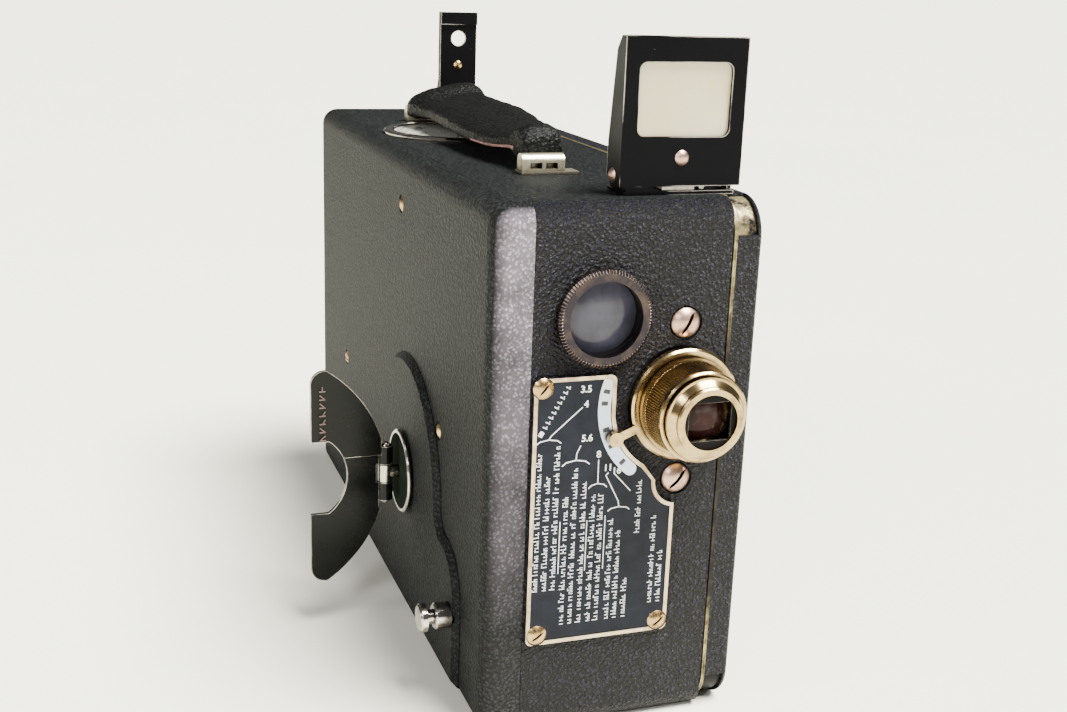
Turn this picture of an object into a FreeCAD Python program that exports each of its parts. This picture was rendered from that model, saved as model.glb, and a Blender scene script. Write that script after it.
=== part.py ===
import FreeCAD, Part
import math
import os

# Spring-driven 16 mm film camera in a leather-covered box body. Millimetres.
# +Z is up, the lens looks along -Y, and the film door is on the +X side.
# The origin is the centre of the tripod socket, on the plane the camera stands on.

Vector = FreeCAD.Vector
AXIS_X = Vector(1, 0, 0)
BACKWARD = Vector(0, 1, 0)
FORWARD = Vector(0, -1, 0)
LEFTWARD = Vector(-1, 0, 0)

# ---------------------------------------------------------------- body
BODY_WIDTH = 71.3
BODY_DEPTH = 220.7
BODY_HEIGHT = 141.3
LEFT = -BODY_WIDTH / 2
RIGHT = BODY_WIDTH / 2
FRONT = -BODY_DEPTH / 2
BACK = BODY_DEPTH / 2
TOP = BODY_HEIGHT
EDGE_RADIUS = 5.5
LEATHER = 0.8
WALL = 2.0
SKIN = LEATHER + WALL
DOOR_SEAM = 27.4
SEAM_GAP = 0.15
FRONT_LEATHER_LEFT = -25.2
LEATHER_TURN = 4.1
BEYOND = 5.0
BUSH_RADIUS = 6.5
BUSH_HEIGHT = 10.0
BUSH_PLATE = 17.0
TRIPOD_HOLE_RADIUS = 3.175
TRIPOD_HOLE_DEPTH = 8.5

# ---------------------------------------------------------------- film door
DOOR_CORNER = 10.0
DOOR_EDGE = 1.5
DOOR_WALL = 1.6
DOOR_BARE_CORNER = 9.3
DOOR_RIM = 0.9
DOOR_LIP_DEPTH = 2.5
DOOR_LIP_THICK = 1.2
DOOR_LIP_GAP = 0.3
HINGE_RADIUS = 2.2
HINGE_PIN_RADIUS = 1.0
HINGE_Y = BACK + 2.4
HINGE_LOW = 20.0
HINGE_HIGH = 120.0
HINGE_KNUCKLE = 14.0
LATCH_Y = FRONT + 16.0
LATCH_Z = 76.0
LATCH_KNOB_RADIUS = 8.0

# ---------------------------------------------------------------- mechanism
OUTER_PLATE_LOW = -32.3
OUTER_PLATE_HIGH = -30.9
INNER_PLATE_LOW = 4.5
INNER_PLATE_HIGH = 6.3
PLATE_FRONT = FRONT + 10.0
PLATE_BACK = BACK - 6.0
PLATE_BOTTOM = 5.2
PLATE_TOP = TOP - 8.0
RUNNING = 0.05
MODULE = 0.72
BARREL_TEETH = 96
PINION_TEETH = 16
TRANSFER_TEETH = 30
SPROCKET_GEAR_TEETH = 24
KEY_Y = FRONT + 77.0
KEY_Z = 47.2
TRAIN_ANGLE = math.radians(125.3)
BARREL_TO_TRANSFER = MODULE * (BARREL_TEETH + PINION_TEETH) / 2
TRANSFER_TO_SPROCKET = MODULE * (TRANSFER_TEETH + SPROCKET_GEAR_TEETH) / 2
TRANSFER_Y = KEY_Y + BARREL_TO_TRANSFER * math.cos(TRAIN_ANGLE)
TRANSFER_Z = KEY_Z + BARREL_TO_TRANSFER * math.sin(TRAIN_ANGLE)
SPROCKET_Y = TRANSFER_Y + TRANSFER_TO_SPROCKET * math.cos(TRAIN_ANGLE)
SPROCKET_Z = TRANSFER_Z + TRANSFER_TO_SPROCKET * math.sin(TRAIN_ANGLE)
SHAFT_RADIUS = 1.5
ARBOR_RADIUS = 3.0
BARREL_LOW = -28.0
BARREL_HIGH = -12.0
BARREL_RADIUS = 32.6
BARREL_GEAR_WIDTH = 3.0
TRANSFER_LOW = -11.4
TRANSFER_WIDTH = 2.5
GOVERNOR_Y = FRONT + 32.0
GOVERNOR_Z = 58.0
RATCHET_TEETH = 24
RATCHET_RADIUS = 10.0
RATCHET_DEPTH = 1.1
PAWL_REACH = 14.0
PAWL_RISE = 3.4
RATCHET_LOW = -30.5
RATCHET_HIGH = -28.6

# ---------------------------------------------------------------- film path
LENS_X = 15.7
LENS_Z = 89.5
FILM_X = LENS_X
SPOOL_RADIUS = 46.0
SPOOL_CORE = 16.0
SPOOL_BORE = 4.0
SPOOL_LOW = FILM_X - 8.7
SPOOL_HIGH = FILM_X + 8.7
FLANGE = 0.6
TAKEUP_Y, TAKEUP_Z = -24.0, 50.0
SUPPLY_Y, SUPPLY_Z = 61.0, 88.0
SPROCKET_RADIUS = 9.7
SPROCKET_TEETH = 8
GATE_FRONT = FRONT + 10.6
GATE_THICK = 1.8
FRAME_WIDTH = 10.3
FRAME_HEIGHT = 7.5
PERFORATION_X = FILM_X - 6.3
PULL_DOWN = 7.62
SHUTTER_X, SHUTTER_Z = 0.0, 74.0
SHUTTER_RADIUS = 27.0
SHUTTER_Y = FRONT + 5.6

# ---------------------------------------------------------------- lens
RING_RADIUS = 14.7
LENS_NECK = 11.4
LENS_SEAT = 9.0
FOOT_RADIUS = 12.8
BARREL_FOOT = 4.6
BARREL_FRONT = 12.3
GRIP_BACK = 12.2
GRIP_FRONT = 11.1
RIM_FRONT = 13.6
RIM_RADIUS = 11.8
WAIST_RADIUS = 10.0
WAIST_DEPTH = 0.5
BEAD_RADIUS = 10.8
BEAD_DEPTH = 0.8
TAPER_BACK = 10.2
TAPER_FRONT = 8.6
LIP_RADIUS = 8.9
LIP_DEPTH = 1.1
RING_OPENING = 7.1
LENS_BORE = 8.0
RING_FRONT = 17.5
LEVER_REACH = 20.3
LEVER_ANGLE = 202.3
LENS_SCREW_SPAN = 41.6
LENS_SCREW_RADIUS = 4.3
LENS_SCREW_SHANK = 1.85

# ---------------------------------------------------------------- tube finder
FINDER_X, FINDER_Z = -7.0, 112.8
FINDER_RING = 12.4
FINDER_TUBE = 10.4
FINDER_THROAT = 6.5
FINDER_BORE = 9.7
THROAT_BORE = 5.6
FINDER_LENS_RADIUS = 9.6

# ---------------------------------------------------------------- exposure plate
PLATE_THICK = 0.9
PLATE_RIM = 1.0
PLATE_RIM_HEIGHT = 0.25
PLATE_LEFT, PLATE_RIGHT, PLATE_SHOULDER = -24.5, 15.0, -2.8
PLATE_LOW, PLATE_HIGH = 26.3, 98.3
PLATE_LENS_ARC = 18.6
PLATE_SCREW_ARC = 6.4
CASE_SCREW_RADIUS = 2.7
SIDE_SCREW_TAP = 1.1

# ---------------------------------------------------------------- sights
SIGHT_X = 15.4
SIGHT_WIDTH = 33.0
SIGHT_FRONT = FRONT + 8.0
SIGHT_LOW, SIGHT_HIGH = 143.5, 180.0
SIGHT_HINGE_Y, SIGHT_HINGE_Z = FRONT + 12.8, 145.9
SIGHT_SHEET = 1.0
WINDOW_WIDTH, WINDOW_LOW, WINDOW_HIGH = 25.0, 155.8, 173.8
REAR_X = 15.7
REAR_WIDTH = 14.2
REAR_FRONT = FRONT + 211.0
REAR_HIGH = 178.0
REAR_HINGE_Y, REAR_HINGE_Z = FRONT + 213.6, 145.0
REAR_SHEET = 0.9
REAR_HEM = 0.8
SIGHT_PIN_RADIUS = 1.2
FRONT_RIVET_RADIUS, FRONT_RIVET_Z = 1.9, 150.6
REAR_RIVET_RADIUS, REAR_RIVET_Z = 1.7, 158.4
PEEP_RADIUS, PEEP_Z = 2.8, 168.3

# ---------------------------------------------------------------- handle and footage dial
HANDLE_X = -6.0
HANDLE_FRONT, HANDLE_BACK = FRONT + 47.0, FRONT + 173.7
STRAP_WIDTH, STRAP_NECK = 22.0, 11.8
DIAL_X, DIAL_Y = -5.0, FRONT + 136.0
DIAL_RADIUS = 25.0

# ---------------------------------------------------------------- winding key
BOSS_HEIGHT = 2.0
BOSS_RADIUS = 36.0
BOSS_FOOT = 56.5
BOSS_LOW = 4.0
BOSS_SHOULDER = 43.0
BOSS_FACE = LEFT - BOSS_HEIGHT
ESCUTCHEON_RADIUS = 12.6
KEY_HINGE_X = -43.3
WING_OUTER = -66.0
WING_THICK = 1.2
KEY_SHAFT_RADIUS = 2.0
KEY_KNUCKLE = 2.2
KEY_EYE = 2.6
KEY_BARREL = 8.6
KEY_PIN_RADIUS = 1.05

# ---------------------------------------------------------------- start button
BUTTON_Y, BUTTON_Z = FRONT + 25.0, 24.5
BUTTON_RADIUS = 3.9
BUTTON_STEM = 2.0
COLLAR_RADIUS = 3.6
COLLAR_SLEEVE = 2.6


def block(low, high):
    """Box from its low corner to its high corner."""
    size = [b - a for a, b in zip(low, high)]
    return Part.makeBox(size[0], size[1], size[2], Vector(*low))


def rod(radius, start, end):
    """Round bar between two points."""
    base, tip = Vector(*start), Vector(*end)
    return Part.makeCylinder(radius, (tip - base).Length, base, tip - base)


def pipe(outer, inner, start, end):
    """Round bar with a hole right through it."""
    return rod(outer, start, end).cut(rod(inner, start, end))


def rod_x(radius, y, z, x0, x1):
    return rod(radius, (x0, y, z), (x1, y, z))


def rod_y(radius, x, z, y0, y1):
    return rod(radius, (x, y0, z), (x, y1, z))


def cone_y(x, z, y0, radius0, y1, radius1):
    """Cone along Y from radius0 at y0 to radius1 at y1."""
    direction = BACKWARD if y1 > y0 else FORWARD
    return Part.makeCone(radius0, radius1, abs(y1 - y0), Vector(x, y0, z), direction)


def joined(shapes):
    """One solid made of overlapping or touching shapes."""
    return shapes[0].multiFuse(shapes[1:]).removeSplitter()


def without(shape, tools):
    return shape.cut(Part.makeCompound(tools)) if tools else shape


def outline(segments):
    """Face inside a closed chain: 2 points make a line, 3 points an arc through the middle one."""
    edges = []
    for points in segments:
        if len(points) == 2:
            edges.append(Part.makeLine(*points))
        else:
            edges.append(Part.Arc(*points).toShape())
    return Part.Face(Part.Wire(edges))


def polygon(points):
    return Part.Face(Part.makePolygon([Vector(*p) for p in points + points[:1]]))


def rounded_block(low, high, radius, flat_at=None):
    """Box with rounded edges; edges lying wholly in the plane x = flat_at stay sharp."""
    box = block(low, high)
    edges = [e for e in box.Edges
             if flat_at is None or min(abs(v.Point.x - flat_at) for v in e.Vertexes) > 0.01
             or abs(e.Vertexes[0].Point.x - e.Vertexes[1].Point.x) > 0.01]
    return box.makeFillet(radius, edges)


def rounded_across(box, radius):
    """Box with its four edges along X rounded."""
    along = [e for e in box.Edges if abs(e.Vertexes[0].Point.x - e.Vertexes[1].Point.x) > 0.5]
    return box.makeFillet(radius, along)


def polar(x, z, radius, degrees, y):
    """Point on a circle round (x, z) in a plane of constant y."""
    angle = math.radians(degrees)
    return Vector(x + radius * math.cos(angle), y, z + radius * math.sin(angle))


def gear_x(teeth, y, z, x0, x1, bore, toward, tooth_at_toward, module=MODULE):
    """Spur gear along X with straight-sided teeth and a little backlash.

    toward is the direction of the mating gear in radians, from +Y to +Z. The gear has a tooth
    there, or a gap."""
    pitch = module * teeth / 2
    root, tip = pitch - 1.15 * module, pitch + 0.8 * module
    step = 2 * math.pi / teeth
    offset = 0.0 if tooth_at_toward else step / 2
    points = []
    for k in range(teeth):
        centre = toward + offset + k * step
        for radius, part in ((root, -0.30), (tip, -0.13), (tip, 0.13), (root, 0.30)):
            angle = centre + part * step
            points.append((x0, y + radius * math.cos(angle), z + radius * math.sin(angle)))
    solid = polygon(points).extrude(Vector(x1 - x0, 0, 0))
    return without(solid, [rod_x(bore, y, z, x0 - BEYOND, x1 + BEYOND)])


# ---------------------------------------------------------------- case and leather

def body_blank(inset):
    """Body left of the door seam, moved in from the outside by inset."""
    low = (LEFT + inset, FRONT + inset, inset)
    high = (DOOR_SEAM, BACK - inset, TOP - inset)
    return rounded_block(low, high, EDGE_RADIUS - inset, flat_at=DOOR_SEAM)


def lens_screw_places():
    return [(LENS_X, LENS_Z + side * LENS_SCREW_SPAN / 2) for side in (1, -1)]


def plate_screw_places():
    return [(PLATE_LEFT + 2.4, PLATE_HIGH - 2.5),
            (PLATE_LEFT + 3.0, PLATE_LOW + 2.7),
            (PLATE_RIGHT - 2.6, PLATE_LOW + 2.7)]


def side_screw_places():
    return [(FRONT + 91.1, 126.1), (FRONT + 171.9, 56.0), (FRONT + 46.0, 70.1)]


def hinge_spans():
    """Heights of the door hinge's knuckles: body, door, body, door, body."""
    pitch = (HINGE_HIGH - HINGE_LOW - HINGE_KNUCKLE) / 4
    return [(HINGE_LOW + k * pitch, HINGE_LOW + k * pitch + HINGE_KNUCKLE) for k in range(5)]


def hinge_knuckle(low, high, side):
    """Knuckle round the hinge pin with a leaf let into the body (side -1) or the door (side 1)."""
    barrel = rod(HINGE_RADIUS, (DOOR_SEAM, HINGE_Y, low), (DOOR_SEAM, HINGE_Y, high))
    x0, x1 = sorted((DOOR_SEAM, DOOR_SEAM + side * 7.0))
    leaf = block((x0 + (0.2 if side > 0 else 0), BACK - 1.0, low),
                 (x1 - (0.2 if side < 0 else 0), BACK + 0.9, high))
    pin = rod(HINGE_PIN_RADIUS + RUNNING, (DOOR_SEAM, HINGE_Y, low - BEYOND),
              (DOOR_SEAM, HINGE_Y, high + BEYOND))
    return joined([barrel, leaf]).cut(pin)


def body_case():
    cavity = rounded_block((LEFT + SKIN, FRONT + SKIN, SKIN),
                           (DOOR_SEAM + BEYOND, BACK - SKIN, TOP - SKIN),
                           EDGE_RADIUS - SKIN, flat_at=DOOR_SEAM + BEYOND)
    shell = body_blank(LEATHER).cut(cavity)
    inside_front, inside_back = FRONT + SKIN + BEYOND, BACK - SKIN - BEYOND
    cuts = [rod_y(LENS_SEAT + RUNNING, LENS_X, LENS_Z, FRONT - BEYOND, inside_front),
            rod_y(FINDER_TUBE, FINDER_X, FINDER_Z, FRONT - BEYOND, inside_front),
            rod_y(FINDER_THROAT, FINDER_X, FINDER_Z, inside_back, BACK + BEYOND),
            rod_x(KEY_SHAFT_RADIUS + 1.0, KEY_Y, KEY_Z, LEFT - BEYOND, LEFT + BEYOND),
            rod_x(COLLAR_SLEEVE, BUTTON_Y, BUTTON_Z, LEFT - BEYOND, LEFT + BEYOND),
            block((-BUSH_PLATE / 2, -BUSH_PLATE / 2, -BEYOND), (BUSH_PLATE / 2, BUSH_PLATE / 2, BEYOND)),
            rod(DIAL_RADIUS - 2.0, (DIAL_X, DIAL_Y, TOP - BEYOND), (DIAL_X, DIAL_Y, TOP + BEYOND)),
            rod_y(1.6, SHUTTER_X, SHUTTER_Z, FRONT + LEATHER + 0.9, inside_front)]
    cuts += [rod_y(LENS_SCREW_SHANK + RUNNING, x, z, FRONT - BEYOND, inside_front)
             for x, z in lens_screw_places()]
    cuts += [rod_x(SIDE_SCREW_TAP, y, z, LEFT - BEYOND, LEFT + BEYOND) for y, z in side_screw_places()]
    knuckles = [hinge_knuckle(*hinge_spans()[k], side=-1) for k in (0, 2, 4)]
    return joined([without(shell, cuts)] + knuckles)


def leather_shell():
    return body_blank(0.0).cut(body_blank(LEATHER))


def side_boss():
    """Raised panel round the winding key: a round top on a wide foot, with bevelled edges."""
    crown = rod_x(BOSS_RADIUS, KEY_Y, KEY_Z, BOSS_FACE, LEFT + LEATHER / 2)
    foot = block((BOSS_FACE, KEY_Y - BOSS_FOOT, BOSS_LOW),
                 (LEFT + LEATHER / 2, KEY_Y + BOSS_FOOT, BOSS_SHOULDER))
    corners = [e for e in foot.Edges if e.BoundBox.XLength > 1 and e.BoundBox.ZMin > BOSS_SHOULDER - 0.1]
    panel = joined([crown, foot.makeFillet(14.0, corners)])
    inner_corners = [e for e in panel.Edges if e.BoundBox.XLength > 1
                     and abs(e.BoundBox.ZMin - BOSS_SHOULDER) < 0.1
                     and abs(e.BoundBox.YMin - KEY_Y) < BOSS_RADIUS]
    panel = panel.makeFillet(6.0, inner_corners)
    rim = [e for e in panel.Edges if e.BoundBox.XMax < BOSS_FACE + 0.1]
    return panel.makeChamfer(BOSS_HEIGHT * 0.85, rim)


def side_leather():
    """Left side, wrapped round the vertical edges, with the raised boss of the spring motor."""
    face = block((LEFT - 1, FRONT - BEYOND, -1), (LEFT + EDGE_RADIUS, BACK + BEYOND, TOP + 1))
    turns = [block((LEFT, FRONT - 1, -1), (FRONT_LEATHER_LEFT, FRONT + LEATHER_TURN, TOP + 1)),
             block((LEFT, BACK - LEATHER_TURN, -1), (FRONT_LEATHER_LEFT, BACK + 1, TOP + 1))]
    skin = leather_shell().common(joined([face] + turns))
    holes = [rod_x(KEY_SHAFT_RADIUS + 1.0, KEY_Y, KEY_Z, BOSS_FACE - 1, LEFT + BEYOND),
             rod_x(3.4, BUTTON_Y, BUTTON_Z, BOSS_FACE - 1, LEFT + BEYOND)]
    holes += [rod_x(CASE_SCREW_RADIUS, y, z, BOSS_FACE - 1, LEFT + BEYOND)
              for y, z in side_screw_places()]
    return without(joined([skin, side_boss()]), holes)


def front_leather():
    region = block((FRONT_LEATHER_LEFT + SEAM_GAP, FRONT - 1, -1),
                   (DOOR_SEAM - 0.3, FRONT + LEATHER_TURN, TOP + 1))
    skin = leather_shell().common(region)
    holes = [rod_y(RING_RADIUS + 0.5, LENS_X, LENS_Z, FRONT - 1, FRONT + BEYOND),
             rod_y(FINDER_TUBE, FINDER_X, FINDER_Z, FRONT - 1, FRONT + BEYOND)]
    holes += [rod_y(LENS_SCREW_RADIUS + 0.2, x, z, FRONT - 1, FRONT + BEYOND)
              for x, z in lens_screw_places()]
    return without(skin, holes)


def top_leather():
    region = block((LEFT + EDGE_RADIUS + SEAM_GAP, FRONT + LEATHER_TURN + SEAM_GAP, TOP - 3),
                   (DOOR_SEAM - 0.3, BACK - LEATHER_TURN - SEAM_GAP, TOP + 1))
    dial = rod(DIAL_RADIUS - 2.0, (DIAL_X, DIAL_Y, TOP - 3), (DIAL_X, DIAL_Y, TOP + 3))
    return leather_shell().common(region).cut(dial)


def back_leather():
    region = block((FRONT_LEATHER_LEFT + SEAM_GAP, BACK - LEATHER_TURN, -1),
                   (DOOR_SEAM - 0.3, BACK + 1, TOP + 1))
    holes = [rod_y(FINDER_THROAT + 1.5, FINDER_X, FINDER_Z, BACK - BEYOND, BACK + 1)]
    for low, high in (hinge_spans()[k] for k in (0, 2, 4)):
        holes.append(block((DOOR_SEAM - 7.2, BACK - 2, low - 0.2), (DOOR_SEAM, BACK + 1, high + 0.2)))
    return without(leather_shell().common(region), holes)


def base_leather():
    region = block((LEFT + EDGE_RADIUS + SEAM_GAP, FRONT + LEATHER_TURN + SEAM_GAP, -1),
                   (DOOR_SEAM - 0.3, BACK - LEATHER_TURN - SEAM_GAP, 3))
    return leather_shell().common(region).cut(rod(BUSH_RADIUS, (0, 0, -1), (0, 0, 3)))


def tripod_socket():
    """Brass bush on a square plate let into the base, with a blind hole for a quarter-inch tripod screw."""
    bush = rod(BUSH_RADIUS, (0, 0, 0), (0, 0, BUSH_HEIGHT))
    plate = block((-BUSH_PLATE / 2, -BUSH_PLATE / 2, LEATHER), (BUSH_PLATE / 2, BUSH_PLATE / 2, SKIN))
    return joined([bush, plate]).cut(rod(TRIPOD_HOLE_RADIUS, (0, 0, -1), (0, 0, TRIPOD_HOLE_DEPTH)))


# ---------------------------------------------------------------- mechanism frame

def pillar_places():
    return side_screw_places()[:2] + [(FRONT + 14.0, 20.0), (BACK - 14.0, 20.0), (BACK - 12.0, 126.0)]


def outer_plate():
    """Plate against the left wall that carries the outer ends of the shafts."""
    plate = block((OUTER_PLATE_LOW, FRONT + 6.5, PLATE_BOTTOM), (OUTER_PLATE_HIGH, PLATE_BACK, PLATE_TOP))
    holes = [rod_x(ARBOR_RADIUS + RUNNING, KEY_Y, KEY_Z, OUTER_PLATE_LOW - 1, OUTER_PLATE_HIGH + 1),
             rod_x(5.0, BUTTON_Y, BUTTON_Z, OUTER_PLATE_LOW - 1, OUTER_PLATE_HIGH + 1)]
    holes += [rod_x(SIDE_SCREW_TAP, y, z, OUTER_PLATE_LOW - 1, OUTER_PLATE_HIGH + 1)
              for y, z in side_screw_places()]
    for y, z in ((TRANSFER_Y, TRANSFER_Z), (SPROCKET_Y, SPROCKET_Z), (GOVERNOR_Y, GOVERNOR_Z)):
        holes.append(rod_x(SHAFT_RADIUS + RUNNING, y, z, OUTER_PLATE_LOW - 1, OUTER_PLATE_HIGH + 1))
    return without(plate, holes)


def shutter_bearing():
    """Tab bent from the mechanism plate that carries the rear end of the shutter shaft."""
    y0, y1 = SHUTTER_Y + 6.0, SHUTTER_Y + 8.0
    tab = block((SHUTTER_X - 5.0, y0, SHUTTER_Z - 5.0), (INNER_PLATE_LOW, y1, SHUTTER_Z + 5.0))
    return tab.cut(rod_y(SHAFT_RADIUS + RUNNING, SHUTTER_X, SHUTTER_Z, y0 - 1, y1 + 1))


def mechanism_plate():
    """Main plate between the spring motor and the film chamber."""
    plate = block((INNER_PLATE_LOW, PLATE_FRONT, PLATE_BOTTOM), (INNER_PLATE_HIGH, PLATE_BACK, PLATE_TOP))
    ends = (INNER_PLATE_LOW - 1, INNER_PLATE_HIGH + 1)
    cuts = [block((ends[0], -9.0, PLATE_BOTTOM - 1), (ends[1], 9.0, 12.0)),
            rod_x(ARBOR_RADIUS + RUNNING, KEY_Y, KEY_Z, *ends)]
    for y, z in ((TRANSFER_Y, TRANSFER_Z), (SPROCKET_Y, SPROCKET_Z), (GOVERNOR_Y, GOVERNOR_Z)):
        cuts.append(rod_x(SHAFT_RADIUS + RUNNING, y, z, *ends))
    return joined([without(plate, cuts), shutter_bearing()])


def plate_pillars():
    """Round pillars that hold the two plates apart, tapped for the side screws."""
    taps = [rod_x(SIDE_SCREW_TAP, y, z, OUTER_PLATE_HIGH - 1, OUTER_PLATE_HIGH + 1)
            for y, z in side_screw_places()]
    return Part.makeCompound([without(rod_x(3.0, y, z, OUTER_PLATE_HIGH, INNER_PLATE_LOW), taps)
                              for y, z in pillar_places()])


def spool_spindles():
    """Fixed spindles on the mechanism plate that the two spools run on."""
    spindles = []
    for y, z in ((TAKEUP_Y, TAKEUP_Z), (SUPPLY_Y, SUPPLY_Z)):
        shoulder = rod_x(6.0, y, z, INNER_PLATE_HIGH, SPOOL_LOW - 0.2)
        shaft = rod_x(SPOOL_BORE - RUNNING, y, z, INNER_PLATE_HIGH, SPOOL_HIGH + 1.6)
        spindles.append(joined([shoulder, shaft]))
    return Part.makeCompound(spindles)


# ---------------------------------------------------------------- spring motor and train

def winding_shaft():
    """Arbor of the mainspring, from the key through both plates."""
    inner = rod_x(ARBOR_RADIUS, KEY_Y, KEY_Z, OUTER_PLATE_LOW, INNER_PLATE_HIGH - 0.3)
    outer = rod_x(KEY_SHAFT_RADIUS, KEY_Y, KEY_Z, KEY_HINGE_X + 0.6, OUTER_PLATE_LOW)
    eye = rod(KEY_KNUCKLE, (KEY_HINGE_X, KEY_Y, KEY_Z - KEY_EYE), (KEY_HINGE_X, KEY_Y, KEY_Z + KEY_EYE))
    pin = rod(KEY_PIN_RADIUS + RUNNING, (KEY_HINGE_X, KEY_Y, KEY_Z - 10), (KEY_HINGE_X, KEY_Y, KEY_Z + 10))
    return joined([inner, outer, eye]).cut(pin)


def key_escutcheon():
    """Dished nickel disc that turns with the key, just off the boss."""
    disc = rod_x(ESCUTCHEON_RADIUS, KEY_Y, KEY_Z, BOSS_FACE - 1.7, BOSS_FACE - 0.9)
    edges = [e for e in disc.Edges if abs(e.BoundBox.XMax - (BOSS_FACE - 1.7)) < 0.01]
    disc = disc.makeChamfer(0.35, edges)
    return disc.cut(rod_x(KEY_SHAFT_RADIUS, KEY_Y, KEY_Z, BOSS_FACE - BEYOND, BOSS_FACE + BEYOND))


def wing_outline(y, low, high):
    """Part of the wing between two heights above the key axis, in the XZ plane at y."""
    half_straight, half_max, notch, inner_arc = 29.5, 33.3, 11.5, 40.0
    arc_centre, notch_x, shoulder_x = KEY_HINGE_X - inner_arc, WING_OUTER + 5.4, WING_OUTER + 4.5

    def at(x, z):
        return Vector(x, y, KEY_Z + z)

    top_x = arc_centre + math.sqrt(inner_arc ** 2 - half_max ** 2)
    mid_angle = 0.5 * math.asin(half_max / inner_arc)
    mid = (arc_centre + inner_arc * math.cos(mid_angle), inner_arc * math.sin(mid_angle))
    bow = (WING_OUTER + 1.2, half_straight + 2.6)
    face = outline([
        [at(WING_OUTER, notch), at(WING_OUTER, half_straight)],
        [at(WING_OUTER, half_straight), at(*bow), at(shoulder_x, half_max)],
        [at(shoulder_x, half_max), at(top_x, half_max)],
        [at(top_x, half_max), at(*mid), at(arc_centre + inner_arc, 0)],
        [at(arc_centre + inner_arc, 0), at(mid[0], -mid[1]), at(top_x, -half_max)],
        [at(top_x, -half_max), at(shoulder_x, -half_max)],
        [at(shoulder_x, -half_max), at(bow[0], -bow[1]), at(WING_OUTER, -half_straight)],
        [at(WING_OUTER, -half_straight), at(WING_OUTER, -notch)],
        [at(WING_OUTER, -notch), at(notch_x, -notch)],
        [at(notch_x, -notch), at(WING_OUTER + 11.0, 0), at(notch_x, notch)],
        [at(notch_x, notch), at(WING_OUTER, notch)]])
    solid = face.extrude(Vector(0, WING_THICK, 0))
    return solid.common(block((WING_OUTER - 1, y - 1, KEY_Z + low), (KEY_HINGE_X + 1, y + 3, KEY_Z + high)))


def key_wing():
    """Sheet wing, stepped forward above the crease, with a rolled knuckle round the pin."""
    crease, step = 7.0, 1.0
    lower = wing_outline(KEY_Y - WING_THICK / 2, -40.0, crease)
    upper = wing_outline(KEY_Y - WING_THICK / 2 - step, crease - 1.0, 40.0)
    knuckles, room = [], [rod(3.0, (KEY_HINGE_X, KEY_Y, KEY_Z - KEY_EYE - 0.3),
                              (KEY_HINGE_X, KEY_Y, KEY_Z + KEY_EYE + 0.3))]
    for side in (-1, 1):
        near, far = KEY_Z + side * (KEY_EYE + 0.3), KEY_Z + side * KEY_BARREL
        knuckles.append(rod(KEY_KNUCKLE, (KEY_HINGE_X, KEY_Y, near), (KEY_HINGE_X, KEY_Y, far)))
        room.append(rod(2.2, (KEY_HINGE_X, KEY_Y, far), (KEY_HINGE_X, KEY_Y, far + side * 2.4)))
    pin = rod(KEY_PIN_RADIUS + RUNNING, (KEY_HINGE_X, KEY_Y, KEY_Z - 20), (KEY_HINGE_X, KEY_Y, KEY_Z + 20))
    return joined([without(joined([lower, upper]), room)] + knuckles).cut(pin)


def key_hinge_pin():
    """Pin through the eye of the shaft and the wing's knuckles, with round heads."""
    shank = rod(KEY_PIN_RADIUS, (KEY_HINGE_X, KEY_Y, KEY_Z - KEY_BARREL),
                (KEY_HINGE_X, KEY_Y, KEY_Z + KEY_BARREL))
    heads = []
    for side in (-1, 1):
        base = Vector(KEY_HINGE_X, KEY_Y, KEY_Z + side * KEY_BARREL)
        heads.append(domed_head(base, 1.6, 1.2, Vector(0, 0, side)))
    return joined([shank] + heads)


def spring_barrel():
    """Drum that holds the mainspring, with the great wheel on its inner end."""
    can = rod_x(BARREL_RADIUS, KEY_Y, KEY_Z, BARREL_LOW, BARREL_HIGH)
    hollow = rod_x(BARREL_RADIUS - 1.4, KEY_Y, KEY_Z, BARREL_LOW + 1.2, BARREL_HIGH - 1.2)
    wheel = gear_x(BARREL_TEETH, KEY_Y, KEY_Z, BARREL_HIGH - BARREL_GEAR_WIDTH, BARREL_HIGH,
                   BARREL_RADIUS - 1.0, TRAIN_ANGLE, True)
    bore = rod_x(ARBOR_RADIUS + RUNNING, KEY_Y, KEY_Z, BARREL_LOW - 1, BARREL_HIGH + 1)
    return without(joined([can, wheel]), [hollow, bore])


def mainspring():
    """Wound spring packed as four rings between arbor and drum."""
    x0, x1 = BARREL_LOW + 1.7, BARREL_HIGH - 1.7
    rings = []
    for k in range(4):
        inner = 8.0 + k * 5.8
        rings.append(pipe(inner + 4.6, inner, (x0, KEY_Y, KEY_Z), (x1, KEY_Y, KEY_Z)))
    return Part.makeCompound(rings)


def ratchet_wheel():
    """Saw-toothed wheel on the arbor that keeps the spring wound."""
    step = 2 * math.pi / RATCHET_TEETH
    points = []
    for k in range(RATCHET_TEETH):
        for radius, part in ((RATCHET_RADIUS, 0.0), (RATCHET_RADIUS - RATCHET_DEPTH, 0.15)):
            angle = (k + part) * step
            points.append((RATCHET_LOW, KEY_Y + radius * math.cos(angle), KEY_Z + radius * math.sin(angle)))
    wheel = polygon(points).extrude(Vector(RATCHET_HIGH - RATCHET_LOW, 0, 0))
    return wheel.cut(rod_x(ARBOR_RADIUS, KEY_Y, KEY_Z, RATCHET_LOW - 1, RATCHET_HIGH + 1))


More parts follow.
